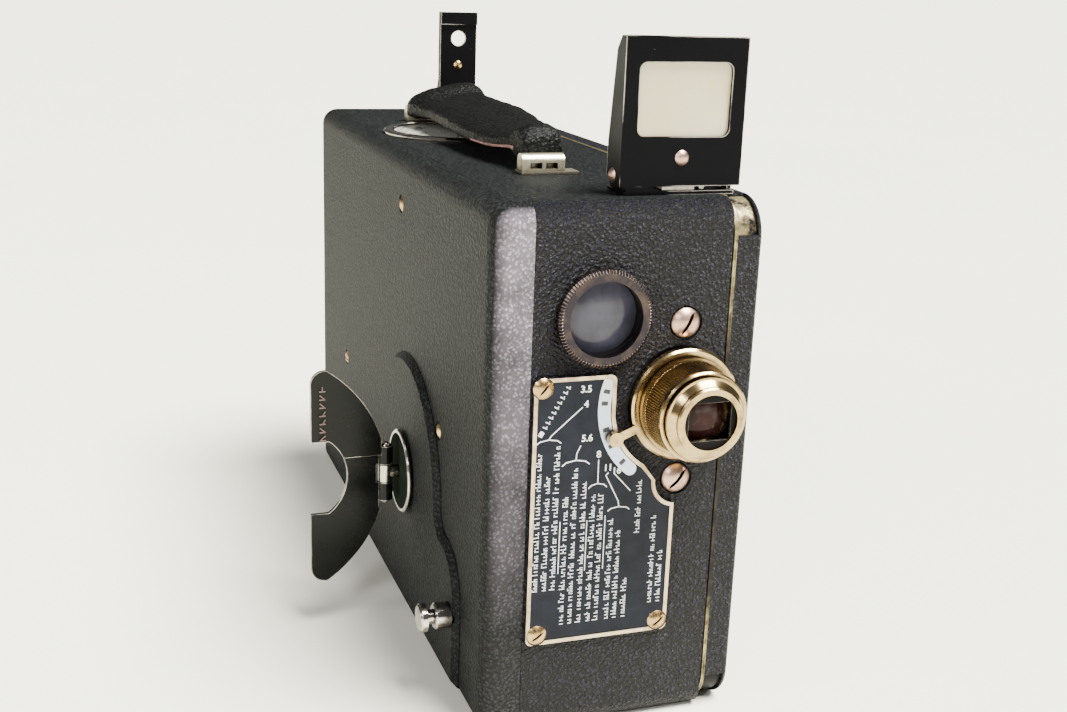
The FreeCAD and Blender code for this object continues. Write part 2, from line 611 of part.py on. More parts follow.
def ratchet_pawl():
    """Click that rests on the ratchet teeth, on its own stud in the outer plate."""
    y, z = KEY_Y, KEY_Z + RATCHET_RADIUS
    eye = rod_x(2.6, y + PAWL_REACH, z + PAWL_RISE, RATCHET_LOW, RATCHET_HIGH)
    side = [(PAWL_REACH, PAWL_RISE + 2.4), (-1.5, 1.4), (-1.6, 0.2), (-0.55, -0.75), (-0.3, 0.4),
            (PAWL_REACH, PAWL_RISE - 1.6)]
    arm = polygon([(RATCHET_LOW, y + along, z + up) for along, up in side])
    stud = rod_x(1.3, y + PAWL_REACH, z + PAWL_RISE, OUTER_PLATE_HIGH + RUNNING, RATCHET_HIGH)
    return joined([eye, arm.extrude(Vector(RATCHET_HIGH - RATCHET_LOW, 0, 0)), stud])


def transfer_gear():
    """Pinion driven by the great wheel, and the wheel that drives the sprocket shaft."""
    pinion = gear_x(PINION_TEETH, TRANSFER_Y, TRANSFER_Z, BARREL_HIGH - BARREL_GEAR_WIDTH, TRANSFER_LOW,
                    1.0, TRAIN_ANGLE + math.pi, False)
    wheel = gear_x(TRANSFER_TEETH, TRANSFER_Y, TRANSFER_Z, TRANSFER_LOW, TRANSFER_LOW + TRANSFER_WIDTH,
                   1.0, TRAIN_ANGLE, True)
    shaft = rod_x(SHAFT_RADIUS, TRANSFER_Y, TRANSFER_Z, OUTER_PLATE_LOW + 0.2, INNER_PLATE_HIGH - 0.3)
    return joined([pinion, wheel, shaft])


def sprocket():
    """Eight-toothed film sprocket and its gear on one long shaft."""
    shaft = rod_x(SHAFT_RADIUS, SPROCKET_Y, SPROCKET_Z, OUTER_PLATE_LOW + 0.2, FILM_X + 10.0)
    gear = gear_x(SPROCKET_GEAR_TEETH, SPROCKET_Y, SPROCKET_Z, TRANSFER_LOW, TRANSFER_LOW + TRANSFER_WIDTH,
                  1.0, TRAIN_ANGLE + math.pi, False)
    drum = rod_x(SPROCKET_RADIUS, SPROCKET_Y, SPROCKET_Z, FILM_X - 8.2, FILM_X + 8.2)
    waist = pipe(SPROCKET_RADIUS + 1, SPROCKET_RADIUS - 1.2,
                 (FILM_X - 4.4, SPROCKET_Y, SPROCKET_Z), (FILM_X + 4.4, SPROCKET_Y, SPROCKET_Z))
    teeth = []
    for k in range(SPROCKET_TEETH):
        angle = 2 * math.pi * (k + 0.5) / SPROCKET_TEETH
        way = Vector(0, math.cos(angle), math.sin(angle))
        for x in (PERFORATION_X, 2 * FILM_X - PERFORATION_X):
            base = Vector(x, SPROCKET_Y, SPROCKET_Z) + way * (SPROCKET_RADIUS - 0.5)
            teeth.append(Part.makeCone(0.8, 0.4, 1.6, base, way))
    return joined([shaft, gear, drum.cut(waist)] + teeth)


def governor():
    """Centrifugal governor: friction disc and two weights on a fast shaft."""
    shaft = rod_x(SHAFT_RADIUS, GOVERNOR_Y, GOVERNOR_Z, OUTER_PLATE_LOW + 0.2, INNER_PLATE_HIGH - 0.3)
    disc = rod_x(7.0, GOVERNOR_Y, GOVERNOR_Z, -18.0, -16.8)
    hub = rod_x(3.0, GOVERNOR_Y, GOVERNOR_Z, -26.0, -6.0)
    weights = []
    for side in (-1, 1):
        arm = block((-24.0, GOVERNOR_Y - 1.0, GOVERNOR_Z + side * 4.6 - 2.0),
                    (-18.0, GOVERNOR_Y + 1.0, GOVERNOR_Z + side * 4.6 + 2.0))
        ball = Part.makeSphere(2.4, Vector(-21.0, GOVERNOR_Y, GOVERNOR_Z + side * 6.0))
        weights += [arm, ball]
    return joined([shaft, disc, hub] + weights)


def shutter_disc():
    """Half-open rotary shutter on its own shaft behind the lens."""
    disc = rod_y(SHUTTER_RADIUS, SHUTTER_X, SHUTTER_Z, SHUTTER_Y, SHUTTER_Y + 0.6)
    hub_radius = 6.0
    half = block((SHUTTER_X - 60, SHUTTER_Y - 1, SHUTTER_Z), (SHUTTER_X + 60, SHUTTER_Y + 2, SHUTTER_Z + 60))
    half = half.cut(rod_y(hub_radius, SHUTTER_X, SHUTTER_Z, SHUTTER_Y - 1, SHUTTER_Y + 2))
    hub = rod_y(hub_radius - 2.0, SHUTTER_X, SHUTTER_Z, SHUTTER_Y - 0.6, SHUTTER_Y + 3.0)
    shaft = rod_y(SHAFT_RADIUS, SHUTTER_X, SHUTTER_Z, FRONT + LEATHER + 1.2, SHUTTER_Y + 10.0)
    return joined([disc.cut(half), hub, shaft])


# ---------------------------------------------------------------- film path

def film_gate():
    """Gate plate behind the lens with the picture aperture and the claw slot, on two feet."""
    y0, y1 = GATE_FRONT, GATE_FRONT + GATE_THICK
    plate = block((INNER_PLATE_HIGH, y0, LENS_Z - 20.0), (FILM_X + 9.3, y1, LENS_Z + 20.0))
    aperture = block((FILM_X - FRAME_WIDTH / 2, y0 - 1, LENS_Z - FRAME_HEIGHT / 2),
                     (FILM_X + FRAME_WIDTH / 2, y1 + 1, LENS_Z + FRAME_HEIGHT / 2))
    slot = block((PERFORATION_X - 0.9, y0 - 1, LENS_Z - PULL_DOWN - 4.0),
                 (PERFORATION_X + 0.9, y1 + 1, LENS_Z + 3.0))
    foot = block((INNER_PLATE_HIGH, y1, LENS_Z - 20.0), (INNER_PLATE_HIGH + 1.5, y1 + 7.0, LENS_Z - 12.0))
    upper_foot = foot.translated(Vector(0, 0, 32.0))
    return joined([without(plate, [aperture, slot]), foot, upper_foot])


def film_claw():
    """Claw that pulls the film down one frame, at the top of its stroke."""
    y = GATE_FRONT + GATE_THICK
    tooth = block((PERFORATION_X - 0.5, y - 1.0, LENS_Z - 1.0), (PERFORATION_X + 0.5, y + 1.0, LENS_Z + 0.2))
    arm = block((PERFORATION_X - 0.5, y + 0.4, LENS_Z - 1.4), (PERFORATION_X + 0.5, y + 12.0, LENS_Z + 0.6))
    yoke = block((PERFORATION_X - 0.5, y + 9.0, LENS_Z - 3.4), (PERFORATION_X + 0.5, y + 13.0, LENS_Z + 2.6))
    return joined([tooth, arm, yoke])


def pressure_plate():
    """Sprung plate that holds the film against the gate."""
    y = GATE_FRONT + GATE_THICK + 0.4
    plate = block((FILM_X - 4.6, y, LENS_Z - 15.0), (FILM_X + 8.0, y + 1.6, LENS_Z + 15.0))
    stem = rod_y(1.8, FILM_X + 2.0, LENS_Z, y + 1.0, y + 6.0)
    return joined([plate, stem])


def spool(y, z):
    """Metal daylight spool with round windows in its flanges."""
    core = rod_x(SPOOL_CORE, y, z, SPOOL_LOW, SPOOL_HIGH)
    flanges = [rod_x(SPOOL_RADIUS, y, z, x, x + FLANGE) for x in (SPOOL_LOW, SPOOL_HIGH - FLANGE)]
    holes = [rod_x(SPOOL_BORE, y, z, SPOOL_LOW - 1, SPOOL_HIGH + 1)]
    for k in range(4):
        angle = math.pi / 4 + k * math.pi / 2
        holes.append(rod_x(7.0, y + 30.0 * math.cos(angle), z + 30.0 * math.sin(angle),
                           SPOOL_LOW - 1, SPOOL_HIGH + 1))
    return without(joined([core] + flanges), holes)


# ---------------------------------------------------------------- lens and finder

def ahead(distance):
    """Y of a plane this far in front of the front face."""
    return FRONT - distance


def lens_barrel():
    """Lens mount and knurled barrel with a polished foot, bored for the glass, with a rim at its front."""
    foot = rod_y(FOOT_RADIUS, LENS_X, LENS_Z, ahead(BARREL_FOOT), ahead(3.0))
    grip = cone_y(LENS_X, LENS_Z, ahead(BARREL_FOOT), GRIP_BACK, ahead(BARREL_FRONT), GRIP_FRONT)
    neck = rod_y(LENS_NECK, LENS_X, LENS_Z, ahead(3.1), ahead(-LEATHER))
    rim = rod_y(RIM_RADIUS, LENS_X, LENS_Z, ahead(RIM_FRONT), ahead(BARREL_FRONT))
    edges = [e for e in rim.Edges if abs(e.BoundBox.YMin - ahead(RIM_FRONT)) < 0.01 and e.Length > 60]
    seat = rod_y(LENS_SEAT, LENS_X, LENS_Z, ahead(0), ahead(-4.5))
    bore = rod_y(LENS_BORE, LENS_X, LENS_Z, ahead(BARREL_FRONT + 2), ahead(-6))
    return joined([foot, grip, neck, rim.makeChamfer(0.4, edges), seat]).cut(bore)


def lens_front_ring():
    """Gilt ring that holds the front element and its mask: a waist, a bead, a cone and a lip."""
    y0, y1 = ahead(RIM_FRONT), ahead(RING_FRONT)
    bead_back = y0 - WAIST_DEPTH
    bead_front = bead_back - BEAD_DEPTH
    waist = rod_y(WAIST_RADIUS, LENS_X, LENS_Z, bead_back, y0)
    bead = rod_y(BEAD_RADIUS, LENS_X, LENS_Z, bead_front, bead_back)
    taper = cone_y(LENS_X, LENS_Z, bead_front, TAPER_BACK, y1 + LIP_DEPTH, TAPER_FRONT)
    lip = rod_y(LIP_RADIUS, LENS_X, LENS_Z, y1, y1 + LIP_DEPTH)
    edges = [e for e in lip.Edges if abs(e.BoundBox.YMin - y1) < 0.01 and e.Length > 50]
    shape = joined([waist, bead, taper, lip.makeChamfer(0.4, edges)])
    return without(shape, [rod_y(LENS_BORE, LENS_X, LENS_Z, y0 + 1, ahead(RING_FRONT - 0.8)),
                           rod_y(RING_OPENING, LENS_X, LENS_Z, y0 + 1, y1 - 1)])


def lens_mask():
    """Black disc with a rectangular window in front of the glass."""
    disc = rod_y(LENS_BORE - RUNNING, LENS_X, LENS_Z, ahead(RING_FRONT - 0.9), ahead(RING_FRONT - 1.5))
    window = block((LENS_X - 5.7, ahead(RING_FRONT), LENS_Z - 4.9), (LENS_X + 5.7, ahead(0), LENS_Z + 4.9))
    return disc.cut(window)


def lens_element(front, back, bulge):
    """Glass disc in the lens bore with a domed front, between two distances ahead of the face."""
    radius = LENS_BORE - RUNNING
    disc = rod_y(radius, LENS_X, LENS_Z, ahead(front), ahead(back))
    ball = (radius ** 2 + bulge ** 2) / (2 * bulge)
    dome = Part.makeSphere(ball, Vector(LENS_X, ahead(front) + ball, LENS_Z))
    return disc.common(dome)


def diaphragm_ring():
    """Ring round the foot of the lens, turned by a lever that points at the aperture scale."""
    ring = pipe(RING_RADIUS, LENS_NECK + RUNNING, (LENS_X, ahead(0.3), LENS_Z), (LENS_X, ahead(2.9), LENS_Z))
    edges = [e for e in ring.Edges if abs(e.BoundBox.YMax - ahead(2.9)) < 0.01 and e.Length > 80]
    ring = ring.makeChamfer(0.5, edges)
    end = polar(LENS_X, LENS_Z, LEVER_REACH, LEVER_ANGLE, 0)
    root = polar(LENS_X, LENS_Z, RING_RADIUS - 1.0, LEVER_ANGLE, 0)
    along = (end - root).normalize()
    across = Vector(-along.z, 0, along.x) * 1.1
    corners = [root + across, end + across, end - across, root - across]
    arm = polygon([(p.x, ahead(1.7), p.z) for p in corners]).extrude(Vector(0, -1.2, 0))
    clip = rod_y(1.9, end.x, end.z, ahead(1.7), ahead(3.5))
    return joined([ring, arm, clip])


def iris_blades():
    """Six thin crescent blades that leave a small opening inside the barrel."""
    blades = []
    for k in range(6):
        centre = polar(LENS_X, LENS_Z, 3.6, 60 * k, 0)
        y = ahead(6.0 + 0.15 * k)
        disc = rod_y(LENS_BORE - 4.0, centre.x, centre.z, y, y + 0.1)
        opening = polar(LENS_X, LENS_Z, 1.2, 60 * k + 180, 0)
        blades.append(disc.cut(rod_y(3.2, opening.x, opening.z, y - 1, y + 1)))
    return Part.makeCompound(blades)


def domed_head(base, radius, height, way):
    """Low dome on a flat round base."""
    ball = (radius ** 2 + height ** 2) / (2 * height)
    dome = Part.makeSphere(ball, Vector(0, 0, height - ball))
    head = Part.makeCylinder(radius, height).common(dome)
    head.Placement = FreeCAD.Placement(base, FreeCAD.Rotation(Vector(0, 0, 1), way))
    return head


def slotted_head(radius, height, slot, base, way, across):
    """Low domed screw head with a slot; base is on the seat, way points out of it."""
    head = domed_head(base, radius, height, way)
    side = way.cross(across)
    corner = base + way * (height * 0.45) - across * (radius + 1) - side * (slot / 2)
    profile = Part.makePolygon([corner, corner + side * slot, corner + side * slot + way * height,
                                corner + way * height, corner])
    return head.cut(Part.Face(profile).extrude(across * (2 * radius + 2)))


def lens_mount_screws():
    """Two large slotted screws that hold the lens mount to the case."""
    screws = []
    for (x, z), turn in zip(lens_screw_places(), (62, 50)):
        across = Vector(math.cos(math.radians(turn)), 0, math.sin(math.radians(turn)))
        seat = Vector(x, FRONT + LEATHER, z)
        head = slotted_head(LENS_SCREW_RADIUS, 2.4, 0.9, seat, FORWARD, across)
        screws.append(joined([head, rod_y(LENS_SCREW_SHANK, x, z, FRONT + LEATHER, FRONT + 5.0)]))
    return Part.makeCompound(screws)


def case_screws():
    """Small brass screws: three on the exposure plate and three through the left side."""
    screws = []
    for (x, z), turn in zip(plate_screw_places(), (50, 35, 40)):
        across = Vector(math.cos(math.radians(turn)), 0, math.sin(math.radians(turn)))
        seat = Vector(x, ahead(PLATE_THICK), z)
        screws.append(slotted_head(CASE_SCREW_RADIUS, 1.1, 0.6, seat, FORWARD, across))
    for (y, z), turn in zip(side_screw_places(), (80, 20, 65)):
        across = Vector(0, math.cos(math.radians(turn)), math.sin(math.radians(turn)))
        seat = Vector(LEFT + LEATHER, y, z)
        head = slotted_head(CASE_SCREW_RADIUS - RUNNING, 1.3, 0.6, seat, LEFTWARD, across)
        screws.append(joined([head, rod_x(SIDE_SCREW_TAP - RUNNING, y, z, LEFT + LEATHER, LEFT + 5.0)]))
    return Part.makeCompound(screws)


def finder_bezel():
    """Round rim of the finder lens on the front."""
    ring = pipe(FINDER_RING, FINDER_LENS_RADIUS,
                (FINDER_X, FRONT, FINDER_Z), (FINDER_X, ahead(2.8), FINDER_Z))
    edges = [e for e in ring.Edges if abs(e.BoundBox.YMax - ahead(2.8)) < 0.01 and e.Length > 70]
    return ring.makeChamfer(0.7, edges)


def finder_tube():
    """Tube of the optical finder, wide at the front lens and narrow to the eyepiece in the back."""
    y0, y1, y2, y3 = FRONT, FRONT + 26.0, FRONT + 34.0, BACK + 2.2
    wide = rod_y(FINDER_TUBE - RUNNING, FINDER_X, FINDER_Z, y0, y1)
    throat = cone_y(FINDER_X, FINDER_Z, y1, FINDER_TUBE - RUNNING, y2, FINDER_THROAT - RUNNING)
    narrow = rod_y(FINDER_THROAT - RUNNING, FINDER_X, FINDER_Z, y2, y3)
    cup = rod_y(FINDER_THROAT + 1.5, FINDER_X, FINDER_Z, BACK, y3)
    hollow = [rod_y(FINDER_BORE, FINDER_X, FINDER_Z, y0 - 1, y1),
              cone_y(FINDER_X, FINDER_Z, y1, FINDER_BORE, y2, THROAT_BORE),
              rod_y(THROAT_BORE, FINDER_X, FINDER_Z, y2, y3 + 1)]
    return without(joined([wide, throat, narrow, cup]), hollow)


def finder_lenses():
    """Front lens and eye lens of the finder."""
    front = rod_y(FINDER_LENS_RADIUS, FINDER_X, FINDER_Z, FRONT + 0.2, FRONT + 3.6)
    ball = Part.makeSphere(30.0, Vector(FINDER_X, FRONT + 30.2, FINDER_Z))
    eye = rod_y(5.5, FINDER_X, FINDER_Z, BACK - 3.0, BACK + 0.4)
    return Part.makeCompound([front.common(ball), eye])


# ---------------------------------------------------------------- exposure plate

def plate_face(y, inset):
    """Outline of the exposure plate, hollowed round the lens and its lower screw."""
    left, right, low, high = PLATE_LEFT + inset, PLATE_RIGHT - inset, PLATE_LOW + inset, PLATE_HIGH - inset
    shoulder, corner = PLATE_SHOULDER - inset, 1.6 - inset * 0.6
    lens_arc, screw_arc = PLATE_LENS_ARC + inset, PLATE_SCREW_ARC + inset
    screw_z = LENS_Z - LENS_SCREW_SPAN / 2
    start = math.degrees(math.acos((shoulder - LENS_X) / lens_arc))
    arc = [polar(LENS_X, LENS_Z, lens_arc, a, y) for a in (360 - start, 213, 238)]
    hook = [polar(LENS_X, screw_z, screw_arc, a, y) for a in (176, 222, 264)]
    slope = Vector(right, y, hook[2].z)

    def at(x, z):
        return Vector(x, y, z)

    def turn(x, z, sx, sz):
        bend = corner * (1 - math.sqrt(0.5))
        return [at(x + sx * corner, z), at(x + sx * bend, z + sz * bend), at(x, z + sz * corner)]

    top_left, low_left = turn(left, high, 1, -1), turn(left, low, 1, 1)
    top_right, low_right = turn(shoulder, high, -1, -1), turn(right, low, -1, 1)
    return outline([[top_left[0], top_right[0]], top_right, [top_right[2], arc[0]], arc,
                    [arc[2], hook[0]], hook, [hook[2], slope], [slope, low_right[2]],
                    low_right[::-1], [low_right[0], low_left[0]], low_left, [low_left[2], top_left[2]],
                    top_left[::-1]])


def exposure_plate():
    """Exposure guide plate with a raised border."""
    plate = plate_face(FRONT, 0.0).extrude(Vector(0, -PLATE_THICK - PLATE_RIM_HEIGHT, 0))
    field = plate_face(ahead(PLATE_THICK), PLATE_RIM).extrude(Vector(0, -1.0, 0))
    seats = [rod_y(CASE_SCREW_RADIUS + 0.1, x, z, ahead(PLATE_THICK), ahead(3.0))
             for x, z in plate_screw_places()]
    return without(plate, [field] + seats)


# ---------------------------------------------------------------- sights

def front_sight_base():
    """Sheet bracket on the top with two lugs for the front sight's pins."""
    half = SIGHT_WIDTH / 2 - SIGHT_SHEET - 0.4
    floor = block((SIGHT_X - half, SIGHT_FRONT + 0.4, TOP), (SIGHT_X + half, SIGHT_FRONT + 11.0, TOP + 1.0))
    lugs = []
    for side in (-1, 1):
        x0, x1 = sorted((SIGHT_X + side * half, SIGHT_X + side * (half - 1.2)))
        lug = block((x0, SIGHT_HINGE_Y - 3.0, TOP), (x1, SIGHT_HINGE_Y + 3.0, SIGHT_HINGE_Z))
        lugs += [lug, rod_x(3.0, SIGHT_HINGE_Y, SIGHT_HINGE_Z, x0, x1)]
    pin = rod_x(SIGHT_PIN_RADIUS + RUNNING, SIGHT_HINGE_Y, SIGHT_HINGE_Z, SIGHT_X - 30, SIGHT_X + 30)
    return joined([floor] + lugs).cut(pin)


def front_sight_spring():
    """Flat spring on the bracket that holds the sight up."""
    y0 = SIGHT_FRONT + 1.6
    strip = block((SIGHT_X - 4.4, y0, TOP + 1.0), (SIGHT_X + 4.4, y0 + 8.0, TOP + 1.4))
    lip = block((SIGHT_X - 4.4, y0 - 0.4, TOP + 1.0), (SIGHT_X + 4.4, y0, TOP + 1.9))
    screw = rod(1.2, (SIGHT_X + 7.0, y0 + 1.2, TOP + 1.0), (SIGHT_X + 7.0, y0 + 1.2, TOP + 1.9))
    return Part.makeCompound([joined([strip, lip]), screw])


def front_sight_frame():
    """Folded sheet frame of the sport finder, with its window and two side flanges."""
    x0, x1 = SIGHT_X - SIGHT_WIDTH / 2, SIGHT_X + SIGHT_WIDTH / 2
    sheet = block((x0, SIGHT_FRONT, SIGHT_LOW), (x1, SIGHT_FRONT + SIGHT_SHEET, SIGHT_HIGH))
    window = rounded_window(SIGHT_X, WINDOW_WIDTH, WINDOW_LOW, WINDOW_HIGH, SIGHT_FRONT)
    top_lip = block((x0, SIGHT_FRONT, SIGHT_HIGH - SIGHT_SHEET), (x1, SIGHT_FRONT + 2.4, SIGHT_HIGH))
    flanges = []
    for x in (x0, x1 - SIGHT_SHEET):
        back_top, back_low = SIGHT_FRONT + 5.4, SIGHT_FRONT + 8.6
        points = [(SIGHT_FRONT, SIGHT_LOW), (back_low - 3.0, SIGHT_LOW - 0.6), (back_low, SIGHT_HINGE_Z),
                  (back_low, SIGHT_HINGE_Z + 8.0), (back_top, SIGHT_HIGH - 3.4),
                  (back_top - 2.7, SIGHT_HIGH), (SIGHT_FRONT, SIGHT_HIGH)]
        flanges.append(polygon([(x, y, z) for y, z in points]).extrude(Vector(SIGHT_SHEET, 0, 0)))
    pin = rod_x(SIGHT_PIN_RADIUS + RUNNING, SIGHT_HINGE_Y, SIGHT_HINGE_Z, x0 - 1, x1 + 1)
    rivet_hole = rod_y(SIGHT_PIN_RADIUS, SIGHT_X, FRONT_RIVET_Z, SIGHT_FRONT - 1, SIGHT_FRONT + 3)
    return without(joined([sheet, top_lip] + flanges), [window, pin, rivet_hole])


def rounded_window(x, width, low, high, y):
    """Cutter for a window with rounded corners through a sheet at y."""
    hole = block((x - width / 2, y - 2, low), (x + width / 2, y + 4, high))
    edges = [e for e in hole.Edges if abs(e.Vertexes[0].Point.y - e.Vertexes[1].Point.y) > 1]
    return hole.makeFillet(2.0, edges)


def front_sight_lens():
    """Clear glass behind the window of the front sight."""
    y0 = SIGHT_FRONT + SIGHT_SHEET
    return block((SIGHT_X - 13.8, y0, WINDOW_LOW - 1.4), (SIGHT_X + 13.8, y0 + 1.2, WINDOW_HIGH + 1.4))


def front_sight_rivets():
    """Copper rivet in the middle and the two hinge pins of the front sight."""
    solids = [rivet(Vector(SIGHT_X, SIGHT_FRONT, FRONT_RIVET_Z), FRONT_RIVET_RADIUS, FORWARD, 2.0)]
    for side in (-1, 1):
        outside = SIGHT_X + side * SIGHT_WIDTH / 2
        head = Vector(outside, SIGHT_HINGE_Y, SIGHT_HINGE_Z)
        solids.append(rivet(head, FRONT_RIVET_RADIUS, AXIS_X * side, 3.2))
    return Part.makeCompound(solids)


def rivet(base, radius, way, grip):
    """Domed rivet head with a shank that goes back through the sheet."""
    shank = Part.makeCylinder(SIGHT_PIN_RADIUS, grip, base - way * grip, way)
    return joined([domed_head(base, radius, 0.9, way), shank])


def rear_sight_base():
    """Small bracket on the top that the rear sight folds on."""
    half = REAR_WIDTH / 2 - REAR_SHEET - 0.4
    floor = block((REAR_X - half, REAR_HINGE_Y - 2.0, TOP), (REAR_X + half, REAR_HINGE_Y + 3.0, TOP + 0.8))
    lugs = []
    for side in (-1, 1):
        x0, x1 = sorted((REAR_X + side * half, REAR_X + side * (half - 1.2)))
        lugs.append(block((x0, REAR_HINGE_Y - 2.0, TOP), (x1, REAR_HINGE_Y + 2.0, REAR_HINGE_Z)))
        lugs.append(rod_x(2.0, REAR_HINGE_Y, REAR_HINGE_Z, x0, x1))
    pin = rod_x(SIGHT_PIN_RADIUS + RUNNING, REAR_HINGE_Y, REAR_HINGE_Z, REAR_X - 20, REAR_X + 20)
    return joined([floor] + lugs).cut(pin)


def rear_sight_leaf():
    """Rear sight: folded strip with a peep hole, a hem along the top and side flanges."""
    x0, x1 = REAR_X - REAR_WIDTH / 2, REAR_X + REAR_WIDTH / 2
    sheet = block((x0, REAR_FRONT, REAR_HINGE_Z + 2.4), (x1, REAR_FRONT + REAR_SHEET, REAR_HIGH))
    hem = block((x0, REAR_FRONT - REAR_HEM, REAR_HIGH - 4.5), (x1, REAR_FRONT, REAR_HIGH))
    flanges = []
    for x in (x0, x1 - REAR_SHEET):
        points = [(REAR_FRONT, REAR_HINGE_Z - 1.9), (REAR_HINGE_Y + 1.9, REAR_HINGE_Z - 1.9),
                  (REAR_HINGE_Y + 1.9, 149.0),
                  (REAR_FRONT + 2.6, 153.0), (REAR_FRONT + 2.6, REAR_HIGH), (REAR_FRONT, REAR_HIGH)]
        flanges.append(polygon([(x, y, z) for y, z in points]).extrude(Vector(REAR_SHEET, 0, 0)))
    holes = [rod_y(PEEP_RADIUS, REAR_X, PEEP_Z, REAR_FRONT - 5, REAR_FRONT + 5),
             rod_y(SIGHT_PIN_RADIUS, REAR_X, REAR_RIVET_Z, REAR_FRONT - 5, REAR_FRONT + 5),
             rod_x(SIGHT_PIN_RADIUS + RUNNING, REAR_HINGE_Y, REAR_HINGE_Z, x0 - 1, x1 + 1)]
    return without(joined([sheet, hem] + flanges), holes)


def rear_sight_rivets():
    """Brass rivet and the two hinge pins of the rear sight."""
    solids = [rivet(Vector(REAR_X, REAR_FRONT, REAR_RIVET_Z), REAR_RIVET_RADIUS, FORWARD, 1.8)]
    for side in (-1, 1):
        head = Vector(REAR_X + side * REAR_WIDTH / 2, REAR_HINGE_Y, REAR_HINGE_Z)
        solids.append(rivet(head, REAR_RIVET_RADIUS, AXIS_X * side, 3.0))
    return Part.makeCompound(solids)


# ---------------------------------------------------------------- handle and footage dial

def handle_strap():
    """Padded strap: narrow ends looped on the brackets and a wide raised middle."""
    front, back = HANDLE_FRONT + 3.2, HANDLE_BACK - 3.2
    side = [(front, TOP + 1.0), (front, TOP + 9.0), (front + 3.0, TOP + 12.0), (front + 12.0, TOP + 11.0),
            (back - 28.0, TOP + 16.0), (back - 18.0, TOP + 16.0), (back - 3.0, TOP + 8.0), (back, TOP + 5.0),
            (back, TOP + 1.0), (back - 6.0, TOP + 1.0), (back - 22.0, TOP + 9.0), (back - 28.0, TOP + 9.5),
            (front + 12.0, TOP + 5.5), (front + 7.0, TOP + 1.0)]
    half = STRAP_WIDTH / 2
    slab = polygon([(HANDLE_X - half, y, z) for y, z in side]).extrude(Vector(STRAP_WIDTH, 0, 0))
    neck, grow = STRAP_NECK / 2, 26.0
    plan = [(HANDLE_X - neck, front - 1), (HANDLE_X + neck, front - 1), (HANDLE_X + neck, front + 8.0),
            (HANDLE_X + half, front + grow), (HANDLE_X + half, back - grow), (HANDLE_X + neck, back - 10.0),
            (HANDLE_X + neck, back + 1), (HANDLE_X - neck, back + 1), (HANDLE_X - neck, back - 10.0),
            (HANDLE_X - half, back - grow), (HANDLE_X - half, front + grow), (HANDLE_X - neck, front + 8.0)]
    return slab.common(polygon([(x, y, TOP) for x, y in plan]).extrude(Vector(0, 0, 30.0)))


def handle_brackets():
    """Two nickel brackets, each a rounded ridge on a foot plate with two slots in its face."""
    brackets = []
    x0, x1 = HANDLE_X - 7.8, HANDLE_X + 4.3
    for y, face in ((HANDLE_FRONT, -1), (HANDLE_BACK, 1)):
        foot = block((HANDLE_X - 8.2, y - 3.2, TOP), (HANDLE_X + 8.2, y + 2.8, TOP + 0.9))
        wall = block((x0, y - 2.4, TOP), (x1, y + 2.4, TOP + 3.2))
        ridge = rod_x(2.4, y, TOP + 3.2, x0, x1)
        slots = [block((x, y + face * 1.4 - 1.2, TOP + 1.6), (x + 3.4, y + face * 1.4 + 1.2, TOP + 3.2))
                 for x in (x0 + 2.2, x1 - 5.4)]
        brackets.append(without(joined([foot, wall, ridge]), slots))
    return Part.makeCompound(brackets)


def footage_bezel():
    """Cup let into the top that carries the footage dial, with a rolled nickel rim."""
    cup = rod(DIAL_RADIUS - 2.0, (DIAL_X, DIAL_Y, TOP - 7.0), (DIAL_X, DIAL_Y, TOP))
    rim = rod(DIAL_RADIUS, (DIAL_X, DIAL_Y, TOP), (DIAL_X, DIAL_Y, TOP + 1.3))
    edges = [e for e in rim.Edges if abs(e.BoundBox.ZMin - TOP - 1.3) < 0.01 and e.Length > 100]
    rim = rim.makeChamfer(0.6, edges)
    hollow = rod(DIAL_RADIUS - 3.0, (DIAL_X, DIAL_Y, TOP - 5.5), (DIAL_X, DIAL_Y, TOP + 3.0))
    bore = rod(SHAFT_RADIUS + RUNNING, (DIAL_X, DIAL_Y, TOP - 9.0), (DIAL_X, DIAL_Y, TOP))
    return without(joined([cup, rim]), [hollow, bore])


def footage_dial():
    """Turning dial that shows how much film is left."""
    disc = rod(DIAL_RADIUS - 3.4, (DIAL_X, DIAL_Y, TOP - 0.4), (DIAL_X, DIAL_Y, TOP + 0.8))
    boss = rod(3.0, (DIAL_X, DIAL_Y, TOP - 5.2), (DIAL_X, DIAL_Y, TOP))
    shaft = rod(SHAFT_RADIUS, (DIAL_X, DIAL_Y, TOP - 12.0), (DIAL_X, DIAL_Y, TOP))
    return joined([disc, boss, shaft])


# ---------------------------------------------------------------- door

def door_blank(inset, corner):
    """Door outline right of the seam, moved in by inset, with its four corners rounded."""
    box = block((DOOR_SEAM + SEAM_GAP, FRONT + inset, inset), (RIGHT - inset, BACK - inset, TOP - inset))
    rounded = rounded_across(box, corner)
    face = [e for e in rounded.Edges if e.BoundBox.XMin > RIGHT - inset - 0.01]
    return rounded.makeFillet(DOOR_EDGE, face)


